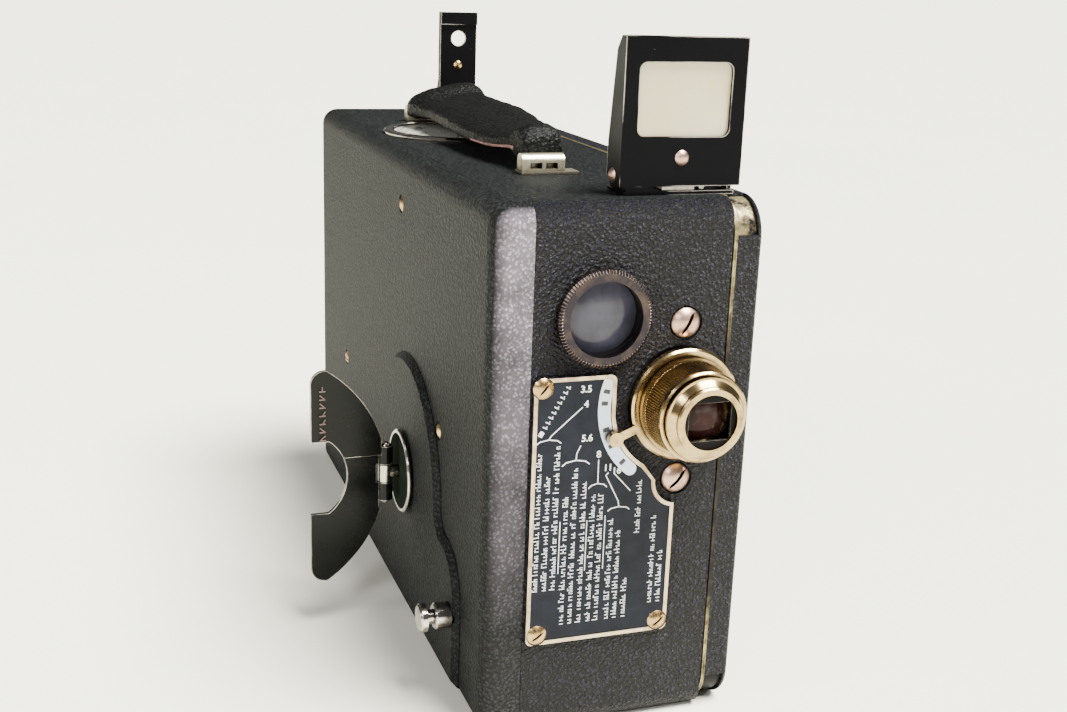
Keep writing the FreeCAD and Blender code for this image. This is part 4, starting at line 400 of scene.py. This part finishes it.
def make_materials():
    nickel = (color(0.56, 0.52, 0.47), color(0.20, 0.16, 0.13))
    brass = (color(0.50, 0.33, 0.15), color(0.17, 0.10, 0.05))
    gilt = (color(0.48, 0.345, 0.165), color(0.19, 0.125, 0.06))
    steel = (color(0.58, 0.58, 0.58), color(0.30, 0.27, 0.24))
    return {
        "front_leather": leather("front_grain", color(0.0007, 0.0006, 0.0016), color(0.0215, 0.0185, 0.0430),
                                 0.90, 0.62, 0.17, 0.50, 0.20, 0.90)[0].material,
        "side_leather": painted_front_sheen(*leather("side_grain", color(0.0015, 0.0020, 0.0021),
                                              color(0.0225, 0.0275, 0.0290), 0.95, 0.36, 0.38, 0.66, 0.13),
                                     color(0.46, 0.395, 0.48)),
        "strap": leather("strap_grain", color(0.0008, 0.0010, 0.0009), color(0.009, 0.010, 0.0085),
                         1.1, 0.26, 0.26, 0.50, 0.14)[0].material,
        "raw": raw_edge("raw_edge"),
        "enamel": worn_enamel("gloss_enamel", color(0.0025, 0.003, 0.0028), nickel[0], 0.5, 0.12, 0.13,
                              9.0, 0.25),
        "sight": worn_enamel("sight_black", color(0.0012, 0.0012, 0.0018), nickel[0], 0.5, 0.34, 0.05,
                             18.0, 0.0),
        "case": worn_enamel("case_enamel", color(0.012, 0.012, 0.013), nickel[0], 0.6, 0.34, 0.4),
        "door": door_metal("door_metal"),
        "spool": worn_enamel("spool_enamel", color(0.022, 0.022, 0.026), steel[0], 0.5, 0.3, 0.5),
        "matte": worn_enamel("matte_black", color(0.004, 0.0035, 0.0035), steel[1], 0.2, 0.6, 0.08),
        "plate": plate_enamel("plate_enamel"),
        "nickel": metal("worn_nickel", *nickel, 0.14).material,
        "escutcheon": dished(metal("escutcheon", *nickel, 0.14), KEY_Y, KEY_Z, 12.6, 0.9),
        "bracket": metal("bracket_nickel", color(0.80, 0.76, 0.60), color(0.42, 0.33, 0.20), 0.30).material,
        "screw_pink": metal("copper_nickel", color(0.56, 0.37, 0.29), color(0.26, 0.13, 0.09), 0.36).material,
        "dial": metal("dial_nickel", color(0.90, 0.90, 0.80), color(0.72, 0.70, 0.58), 0.48).material,
        "brass": metal("aged_brass", *brass, 0.26).material,
        "gear": metal("gear_brass", *brass, 0.3).material,
        "frame_brass": metal("satin_brass", color(0.62, 0.48, 0.26), color(0.42, 0.30, 0.15), 0.42,
                             (1, 1, 12)).material,
        "steel": metal("turned_steel", *steel, 0.28).material,
        "blued": metal("blued_steel", color(0.16, 0.19, 0.30), color(0.20, 0.14, 0.12), 0.26).material,
        "gilt": metal("gilt", *gilt, 0.15).material,
        "lens_barrel": knurled(metal("gilt_knurled", *gilt, 0.16), LENS_X, LENS_Z, 110, 5.2, 11.6, 0.3),
        "finder_rim": beaded(metal("finder_rim", color(0.026, 0.022, 0.026),
                                   color(0.075, 0.055, 0.045), 0.30),
                             FINDER_X, FINDER_Z, 90, 11.5, 0.35),
        "glass": coated_glass("lens_glass", color(0.024, 0.007, 0.006), color(0.005, 0.002, 0.002)),
        "finder_glass": dusty_glass("finder_glass", color(0.027, 0.026, 0.039)),
        "pane": clear_pane("sight_glass"),
        "white_ink": printed("white_ink", color(0.84, 0.86, 0.90)),
        "faded_ink": printed("faded_ink", color(0.20, 0.12, 0.10)),
        "black_ink": printed("black_ink", color(0.015, 0.015, 0.02)),
        "scale": metal("scale_silver", color(0.46, 0.52, 0.66), color(0.66, 0.67, 0.68), 0.36).material,
    }


NODE_FINISH = {
    "front_leather": ["front_leather", "door_leather"],
    "side_leather": ["side_leather", "top_leather", "back_leather", "base_leather"],
    "case": ["body_case"],
    "door": ["door"],
    "brass": ["tripod_socket", "case_screws", "rear_sight_rivets"],
    "frame_brass": ["outer_plate", "mechanism_plate"],
    "steel": ["plate_pillars", "spool_spindles", "ratchet_wheel", "ratchet_pawl", "door_hinge_pin",
              "film_claw"],
    "nickel": ["winding_shaft", "key_hinge_pin", "front_sight_spring", "door_latch",
               "start_button", "button_collar", "film_gate", "pressure_plate", "footage_bezel"],
    "escutcheon": ["key_escutcheon"],
    "bracket": ["handle_brackets"],
    "blued": ["mainspring", "button_spring", "iris_blades"],
    "gear": ["spring_barrel", "transfer_gear", "sprocket", "governor"],
    "enamel": ["key_wing"],
    "sight": ["front_sight_frame", "front_sight_base", "rear_sight_leaf", "rear_sight_base"],
    "matte": ["shutter_disc", "lens_mask", "finder_tube"],
    "spool": ["takeup_spool", "supply_spool"],
    "lens_barrel": ["lens_barrel"],
    "gilt": ["lens_front_ring", "diaphragm_ring"],
    "finder_rim": ["finder_bezel"],
    "finder_glass": ["finder_lenses"],
    "glass": ["lens_front_element", "lens_rear_element"],
    "pane": ["front_sight_lens"],
    "screw_pink": ["lens_mount_screws", "front_sight_rivets"],
    "plate": ["exposure_plate"],
    "dial": ["footage_dial"],
}


def finish_nodes(materials):
    """Gives each CAD node listed in NODE_FINISH its finish."""
    for name, nodes in NODE_FINISH.items():
        for node in nodes:
            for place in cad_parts[node].material_slots:
                place.material = materials[name]


# ---------------------------------------------------------------- making pieces

def piece_from(bm, name, body, slot, *materials):
    """Turns the mesh into a named piece that rides on a body."""
    mesh = bpy.data.meshes.new(name)
    bm.to_mesh(mesh)
    bm.free()
    piece = bpy.data.objects.new(name, mesh)
    bpy.context.scene.collection.objects.link(piece)
    for material in materials:
        mesh.materials.append(material)
    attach(piece, body)
    return piece


def bar(bm, start, end, width, y=PLATE_FIELD, thick=PRINT_THICK):
    """Thin raised stroke on a plane facing -Y, between two (x, z) points in mm."""
    run = Vector((end[0] - start[0], 0, end[1] - start[1]))
    side = Vector((-run.z, 0, run.x)).normalized() * (width / 2)
    corners = []
    for depth in (y, y - thick):
        for base in (Vector((start[0], depth, start[1])), Vector((end[0], depth, end[1]))):
            corners += [bm.verts.new(mm(*(base - side))), bm.verts.new(mm(*(base + side)))]
    for face in ((0, 1, 3, 2), (4, 6, 7, 5), (0, 4, 5, 1), (2, 3, 7, 6), (0, 2, 6, 4), (1, 5, 7, 3)):
        bm.faces.new([corners[i] for i in face])


def stroke_path(bm, points, width):
    """Strokes joined end to end through (x, z) points in mm."""
    for start, end in zip(points, points[1:]):
        bar(bm, start, end, width)


TEXT_HEIGHT = 1.5
TEXT_PITCH = 0.95
WORD_LENGTHS = (2, 3, 4, 5, 6, 7)
STROKE_WIDTH, FINE_WIDTH = 0.22, 0.20
LEADER_WIDTH, BRACE_WIDTH, ARROW_WIDTH = 0.26, 0.28, 1.2
PRINT_COLUMNS = [
    # place across the plate, lower end, upper end
    (-22.6, 41.5, 79.5), (-20.2, 41.5, 73.9), (-17.8, 41.5, 81.0), (-15.1, 31.4, 68.2), (-12.8, 31.4, 74.7),
    (-10.3, 31.4, 71.0), (-7.7, 31.4, 67.0), (-5.5, 31.4, 67.8), (-2.5, 31.4, 60.4), (-0.3, 31.4, 56.3),
    (2.2, 31.4, 42.7), (5.0, 55.0, 71.1), (9.6, 34.6, 59.9), (12.0, 34.6, 50.8),
]
PRINT_RULES = [(-16.3, 45.8, 60.1), (-9.0, 45.8, 59.8), (-4.0, 45.8, 60.6)]
BRACES = [
    # middle point, half width, drop of the ends
    ((-20.2, 82.4), 3.3, 1.1), ((-12.7, 76.4), 3.7, 1.3), ((-6.5, 69.6), 2.5, 1.2), ((-0.4, 62.7), 3.0, 1.0),
]
LEADERS = [
    [(-20.1, 82.6), (-19.6, 83.4), (-11.6, 90.3)],
    [(-12.7, 76.6), (-12.6, 78.2), (-11.6, 80.2)],
    [(-6.5, 69.7), (-6.6, 76.0)],
    [(-0.4, 62.9), (-0.6, 64.2), (-4.4, 71.6), (-3.7, 72.3)],
    [(2.6, 66.8), (-2.0, 71.8)],
]
ARROW = [(-22.7, 83.4), (-21.9, 84.6)]
SLANTED_COUNT, SLANTED_START, SLANTED_STEP = 9, (-21.4, 85.6), (0.72, 1.25)


def print_column(bm, x, low, high, dice):
    """One line of unreadable print that runs upward: words made of plain dashes."""
    z = low
    while z < high - TEXT_PITCH:
        for _ in range(dice.choice(WORD_LENGTHS)):
            if z > high - TEXT_PITCH:
                break
            left = x - TEXT_HEIGHT / 2 * dice.choice((1.0, 0.35, 0.35))
            right = x + TEXT_HEIGHT / 2
            bar(bm, (left, z), (right, z), STROKE_WIDTH)
            if dice.random() < 0.75:
                across = dice.choice((left + 0.15, right - 0.15, (left + right) / 2))
                bar(bm, (across, z), (across, z + TEXT_PITCH * 0.6), FINE_WIDTH)
            if dice.random() < 0.45:
                bar(bm, ((left + right) / 2, z + TEXT_PITCH * 0.55), (right, z + TEXT_PITCH * 0.55),
                    FINE_WIDTH)
            z += TEXT_PITCH
        z += TEXT_PITCH * 0.8


def plate_print(materials):
    """Columns of dashes, rules, braces and leader lines on the exposure plate, with no readable text."""
    dice = random.Random(7)
    bm = bmesh.new()
    for x, low, high in PRINT_COLUMNS:
        print_column(bm, x, low, high, dice)
    for x, low, high in PRINT_RULES:
        bar(bm, (x, low), (x, high), STROKE_WIDTH)
    for (x, z), half, drop in BRACES:
        shoulder, fall = half * 0.7, drop * 0.35
        stroke_path(bm, [(x - half, z - drop), (x - shoulder, z - fall), (x, z), (x + shoulder, z - fall),
                         (x + half, z - drop)], BRACE_WIDTH)
    for path in LEADERS:
        stroke_path(bm, path, LEADER_WIDTH)
    stroke_path(bm, ARROW, ARROW_WIDTH)
    for k in range(SLANTED_COUNT):
        x, z = SLANTED_START[0] + k * SLANTED_STEP[0], SLANTED_START[1] + k * SLANTED_STEP[1]
        bar(bm, (x - 0.5, z + 0.3), (x + 0.6, z - 0.35), 0.3)
        bar(bm, (x + 0.2, z - 0.3), (x + 0.6, z + 0.35), 0.26)
    piece_from(bm, "plate_print", "body", "plate_enamel", materials["white_ink"])


def number(name, text, size, place, body, material, upright=True, turn=0.0):
    """Plain number as a thin raised mesh, standing on a face toward -Y or lying on top."""
    curve = bpy.data.curves.new(name + "_curve", "FONT")
    curve.body = text
    curve.size = size / 1000.0
    curve.align_x = "CENTER"
    curve.align_y = "CENTER"
    curve.extrude = PRINT_THICK / 2000.0
    curve.offset = size / 1000.0 * 0.02
    holder = bpy.data.objects.new(name + "_text", curve)
    bpy.context.scene.collection.objects.link(holder)
    bpy.context.view_layer.update()
    mesh = bpy.data.meshes.new_from_object(holder)
    bpy.data.objects.remove(holder)
    tilt = Matrix.Rotation(math.radians(90.0 if upright else 0.0), 4, "X")
    mesh.transform(Matrix.Translation(mm(*place)) @ tilt @ Matrix.Rotation(math.radians(turn), 4, "Z"))
    mesh.name = name
    mesh.materials.clear()
    mesh.materials.append(material)
    piece = bpy.data.objects.new(name, mesh)
    bpy.context.scene.collection.objects.link(piece)
    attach(piece, body)


def plate_numbers(materials):
    """Plain stop numbers on the plate."""
    y = PLATE_FIELD - PRINT_THICK / 2
    for text, x, z in (("3.5", -10.8, 94.9), ("4", -10.6, 91.0), ("5.6", -10.0, 82.0), ("8", -6.6, 77.4),
                       ("11", -3.9, 73.6), ("16", -1.5, 72.6)):
        number("stop_" + text.replace(".", "_"), text, 2.5, (x, y, z), "body",
               materials["white_ink"])


def aperture_scale(materials):
    """Silver arc that the diaphragm lever points to, with a dark notch at each stop."""
    inner, outer, low, high = 19.8, 23.2, 160.5, 231.0
    middle, half = (inner + outer) / 2, (outer - inner) / 2
    bm = bmesh.new()

    def at(radius, degrees, depth):
        turn = math.radians(degrees)
        return mm(LENS_X + radius * math.cos(turn), PLATE_FIELD - depth, LENS_Z + radius * math.sin(turn))

    outline = [(outer, low + (high - low) * k / 24) for k in range(25)]
    outline += [(middle + half * math.cos(math.radians(a)),
                 high + math.degrees(half * math.sin(math.radians(a)) / middle)) for a in range(15, 180, 15)]
    outline += [(inner, high - (high - low) * k / 24) for k in range(25)]
    outline += [(middle - half * math.cos(math.radians(a)),
                 low - math.degrees(half * math.sin(math.radians(a)) / middle)) for a in range(15, 180, 15)]
    front = bm.faces.new([bm.verts.new(at(r, a, 0.16)) for r, a in outline])
    walls = bmesh.ops.extrude_face_region(bm, geom=[front])
    for vert in [g for g in walls["geom"] if isinstance(g, bmesh.types.BMVert)]:
        vert.co.y = PLATE_FIELD / 1000.0
    bmesh.ops.recalc_face_normals(bm, faces=bm.faces)
    piece_from(bm, "aperture_scale", "body", "plate_enamel", materials["scale"])

    bm = bmesh.new()
    for degrees in (168.0, 176.3, 195.0, 207.8, 222.6):
        turn = math.radians(degrees)
        x, z = LENS_X + middle * math.cos(turn), LENS_Z + middle * math.sin(turn)
        along = (-math.sin(turn) * 0.55, math.cos(turn) * 0.55)
        bar(bm, (x - along[0], z - along[1]), (x + along[0], z + along[1]), 1.7, PLATE_FIELD - 0.15, 0.05)
    piece_from(bm, "aperture_notches", "body", "plate_enamel", materials["black_ink"])


def dial_marks(materials):
    """Ring of footage marks and plain numbers on the turning dial."""
    bm = bmesh.new()
    for k in range(40):
        turn = 2 * math.pi * k / 40
        inner = 17.6 if k % 5 == 0 else 18.8
        ends = [Vector((DIAL_X + r * math.cos(turn), DIAL_Y + r * math.sin(turn), 0)) for r in (inner, 20.4)]
        side = Vector((-math.sin(turn), math.cos(turn), 0)) * (0.22 if k % 5 == 0 else 0.14)
        corners = []
        for z in (DIAL_TOP, DIAL_TOP + PRINT_THICK):
            for base in ends:
                for across in (-side, side):
                    corners.append(bm.verts.new(mm(base.x + across.x, base.y + across.y, z)))
        for face in ((0, 2, 3, 1), (4, 5, 7, 6), (0, 1, 5, 4), (2, 6, 7, 3), (0, 4, 6, 2), (1, 3, 7, 5)):
            bm.faces.new([corners[i] for i in face])
    piece_from(bm, "dial_marks", "dial", "dial_nickel", materials["black_ink"])
    for k, text in enumerate(("0", "20", "40", "60", "80", "100")):
        turn = math.radians(200.0 - 60.0 * k)
        place = (DIAL_X + 14.6 * math.cos(turn), DIAL_Y + 14.6 * math.sin(turn), DIAL_TOP + PRINT_THICK / 2)
        number("dial_" + text, text, 4.0, place, "dial", materials["black_ink"], upright=False,
               turn=math.degrees(turn) + 90.0)


# ---------------------------------------------------------------- strap

STRAP_STATIONS = [
    # distance behind the front face, underside, top, half width
    (50.3, 143.4, 148.6, 5.5),
    (50.9, 142.7, 151.4, 5.8),
    (52.6, 142.5, 153.3, 5.95),
    (55.6, 142.6, 154.0, 6.0),
    (58.6, 143.6, 153.6, 6.2),
    (61.0, 145.3, 152.2, 6.7),
    (65.0, 146.0, 151.6, 7.8),
    (73.0, 146.7, 152.2, 9.6),
    (84.0, 147.4, 153.2, 10.9),
    (98.0, 148.0, 154.2, 11.3),
    (112.0, 148.6, 154.8, 11.3),
    (124.0, 149.0, 154.8, 11.1),
    (133.0, 149.2, 154.6, 10.7),
    (138.0, 149.4, 155.0, 10.4),
    (141.0, 149.6, 156.6, 10.3),
    (144.0, 150.0, 157.8, 10.3),
    (148.5, 149.8, 158.2, 10.3),
    (152.0, 148.8, 157.2, 9.9),
    (155.5, 147.2, 154.2, 9.0),
    (160.0, 145.0, 151.0, 7.6),
    (165.0, 143.2, 148.6, 6.3),
    (169.0, 142.6, 147.2, 5.8),
    (170.4, 143.2, 146.2, 5.5),
]
STRAP_DROOP = 0.66
STRAP_NARROWEST = 5.5
STRAP_CROWN = 0.7
STRAP_DENTS, STRAP_DENT_SIZE = 1.1, 6.0
LOBE_CENTRE, LOBE_LENGTH, LOBE_DROP, LOBE_WIDTH = 149.0, 11.0, 2.6, 3.6
SECTION_STEPS = 32
RAW_EDGE_FROM, RAW_EDGE_TO = 57.0, 80.0


def strap_ring(bm, along, low, high, half):
    """One cross-section of the strap: flat below, crowned above, with its left edge hanging lower."""
    middle, thick = (low + high) / 2, (high - low) / 2
    ring = []
    for k in range(SECTION_STEPS):
        turn = 2 * math.pi * (k + 0.5) / SECTION_STEPS
        across = math.copysign(abs(math.cos(turn)) ** 0.5, math.cos(turn))
        up = math.copysign(abs(math.sin(turn)) ** 0.62, math.sin(turn))
        crown = STRAP_CROWN * (1 - across * across) if up > 0 else 0.0
        leftward = (1 - across) / 2
        lobe = math.exp(-((along - LOBE_CENTRE) / LOBE_LENGTH) ** 2) * leftward ** 2
        droop = -STRAP_DROOP * (half - STRAP_NARROWEST) * leftward - LOBE_DROP * lobe
        ring.append(bm.verts.new(mm(HANDLE_X + half * across - LOBE_WIDTH * lobe, FRONT_FACE + along,
                                    middle + thick * up * 0.92 + crown + droop)))
    return ring


def strap(materials):
    """Padded leather strap: a rolled end, a wide soft middle and a raised fold near the back."""
    bm = bmesh.new()
    rings = [strap_ring(bm, *station) for station in STRAP_STATIONS]
    left_edge = SECTION_STEPS // 2
    for first, second, station in zip(rings, rings[1:], STRAP_STATIONS):
        for k in range(SECTION_STEPS):
            nxt = (k + 1) % SECTION_STEPS
            face = bm.faces.new((first[k], first[nxt], second[nxt], second[k]))
            raw = k == left_edge and RAW_EDGE_FROM < station[0] < RAW_EDGE_TO
            face.material_index = 1 if raw else 0
            face.smooth = True
    for ring in (rings[0][::-1], rings[-1]):
        bm.faces.new(ring).smooth = True
    bmesh.ops.recalc_face_normals(bm, faces=bm.faces)
    piece = piece_from(bm, "strap_leather", "body", "strap_leather", materials["strap"], materials["raw"])
    smoother = piece.modifiers.new("smooth", "SUBSURF")
    smoother.levels = 2
    smoother.render_levels = 2
    wrinkles = bpy.data.textures.new("wrinkles", "CLOUDS")
    wrinkles.noise_scale = STRAP_DENT_SIZE / 1000.0
    wrinkles.noise_depth = 3
    dents = piece.modifiers.new("dents", "DISPLACE")
    dents.texture = wrinkles
    dents.texture_coords = "GLOBAL"
    dents.strength = STRAP_DENTS / 1000.0
    dents.mid_level = 0.5
    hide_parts("handle_strap")


def wing_marks(materials):
    """Short generic strokes along the outer edge of the key's wing, in place of its stamped words."""
    low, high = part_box("key_wing")
    x, y = low[0] * 1000.0 + 3.4, low[1] * 1000.0
    dice = random.Random(3)
    bm = bmesh.new()
    for k in range(7):
        z = 59.5 + k * 2.5
        bar(bm, (x - 0.9, z), (x + 0.9, z), 0.35, y)
        bar(bm, (x + dice.choice((-0.8, 0.0, 0.8)), z), (x + dice.choice((-0.8, 0.0, 0.8)), z + 1.4), 0.3, y)
    piece_from(bm, "wing_marks", "wing", "key_enamel", materials["faded_ink"])


# ---------------------------------------------------------------- stage, lights and camera

FLOOR_HALF = 150.0
ROOM_COLOR, ROOM_STRENGTH = (0.93, 0.95, 0.92, 1.0), 0.15
BACKDROP_COLOR, BACKDROP_STRENGTH = (0.93, 0.92, 0.88, 1.0), 4.2
SKY_COLOR, SKY_ENERGY, SKY_ANGLE = (1.0, 0.99, 0.94), 16.5, 32.0
SKY_DIRECTION = (-0.35, 0.30, -1.0)
LIGHT_TARGET = (0.0, 0.0, 0.08)
SENSOR_WIDTH = 36.0
CLIP_NEAR, CLIP_FAR = 0.01, 1000.0


def stage():
    """Wide pale floor, large enough that no view reaches its edge near the object."""
    sh = Shader("pale_paper")
    clouds = sh.noise(260.0, 3.0, 0.5)
    sh.set(Base_Color=sh.mix(sh.ramp(clouds, 0.35, 0.65), color(0.88, 0.88, 0.74), color(0.90, 0.89, 0.76)),
           Roughness=sh.ramp(clouds, 0.3, 0.7, 0.85, 0.95))
    bm = bmesh.new()
    corners = ((-1, -1), (1, -1), (1, 1), (-1, 1))
    bm.faces.new([bm.verts.new((FLOOR_HALF * x, FLOOR_HALF * y, 0.0)) for x, y in corners])
    mesh = bpy.data.meshes.new("floor")
    bm.to_mesh(mesh)
    bm.free()
    mesh.materials.append(sh.material)
    floor = bpy.data.objects.new("floor", mesh)
    bpy.context.scene.collection.objects.link(floor)


def soft_light(name, place, size, power, tint):
    light = bpy.data.lights.new(name, "AREA")
    light.shape = "RECTANGLE"
    light.size, light.size_y = size
    light.energy = power
    light.color = tint
    lamp = bpy.data.objects.new(name, light)
    lamp.location = place
    lamp.rotation_euler = (Vector(LIGHT_TARGET) - Vector(place)).to_track_quat("-Z", "Y").to_euler()
    bpy.context.scene.collection.objects.link(lamp)


def room():
    """Dim even light from all round, with a pale backdrop where the camera looks past the floor."""
    world = bpy.data.worlds.new("room")
    world.use_nodes = True
    tree = world.node_tree
    glow = tree.nodes["Background"]
    glow.inputs["Color"].default_value = ROOM_COLOR
    glow.inputs["Strength"].default_value = ROOM_STRENGTH
    backdrop = tree.nodes.new("ShaderNodeBackground")
    backdrop.inputs["Color"].default_value = BACKDROP_COLOR
    backdrop.inputs["Strength"].default_value = BACKDROP_STRENGTH
    seen = tree.nodes.new("ShaderNodeLightPath")
    choose = tree.nodes.new("ShaderNodeMixShader")
    tree.links.new(seen.outputs["Is Camera Ray"], choose.inputs[0])
    tree.links.new(glow.outputs[0], choose.inputs[1])
    tree.links.new(backdrop.outputs[0], choose.inputs[2])
    tree.links.new(choose.outputs[0], tree.nodes["World Output"].inputs["Surface"])
    bpy.context.scene.world = world


def lights():
    sky = bpy.data.lights.new("ceiling", "SUN")
    sky.energy = SKY_ENERGY
    sky.angle = math.radians(SKY_ANGLE)
    sky.color = SKY_COLOR
    lamp = bpy.data.objects.new("ceiling", sky)
    lamp.rotation_euler = Vector(SKY_DIRECTION).to_track_quat("-Z", "Y").to_euler()
    bpy.context.scene.collection.objects.link(lamp)
    soft_light("window", (-0.9, -1.1, 0.9), (0.22, 0.30), 9.0, (0.96, 0.97, 1.0))
    soft_light("left", (-1.1, -0.30, 0.60), (0.3, 0.5), 9.0, (1.0, 0.94, 0.98))
    soft_light("low_front", (0.35, -1.1, 0.10), (0.5, 0.2), 0.8, (1.0, 0.96, 0.98))


def camera():
    data = bpy.data.cameras.new("camera")
    data.lens = CAMERA_LENS
    data.sensor_width = SENSOR_WIDTH
    data.clip_start = CLIP_NEAR
    data.clip_end = CLIP_FAR
    view = bpy.data.objects.new("camera", data)
    turn = Matrix.Rotation(math.radians(CAMERA_AZIMUTH), 4, "Z")
    turn = turn @ Matrix.Rotation(math.radians(90.0 - CAMERA_ELEVATION), 4, "X")
    turn = turn @ Matrix.Rotation(math.radians(CAMERA_ROLL), 4, "Z")
    view.matrix_world = Matrix.Translation(mm(*CAMERA_PLACE)) @ turn
    bpy.context.scene.collection.objects.link(view)
    bpy.context.scene.camera = view


camera()
stage()
room()
lights()
MATERIALS = make_materials()
finish_nodes(MATERIALS)
plate_print(MATERIALS)
plate_numbers(MATERIALS)
aperture_scale(MATERIALS)
dial_marks(MATERIALS)
strap(MATERIALS)
wing_marks(MATERIALS)
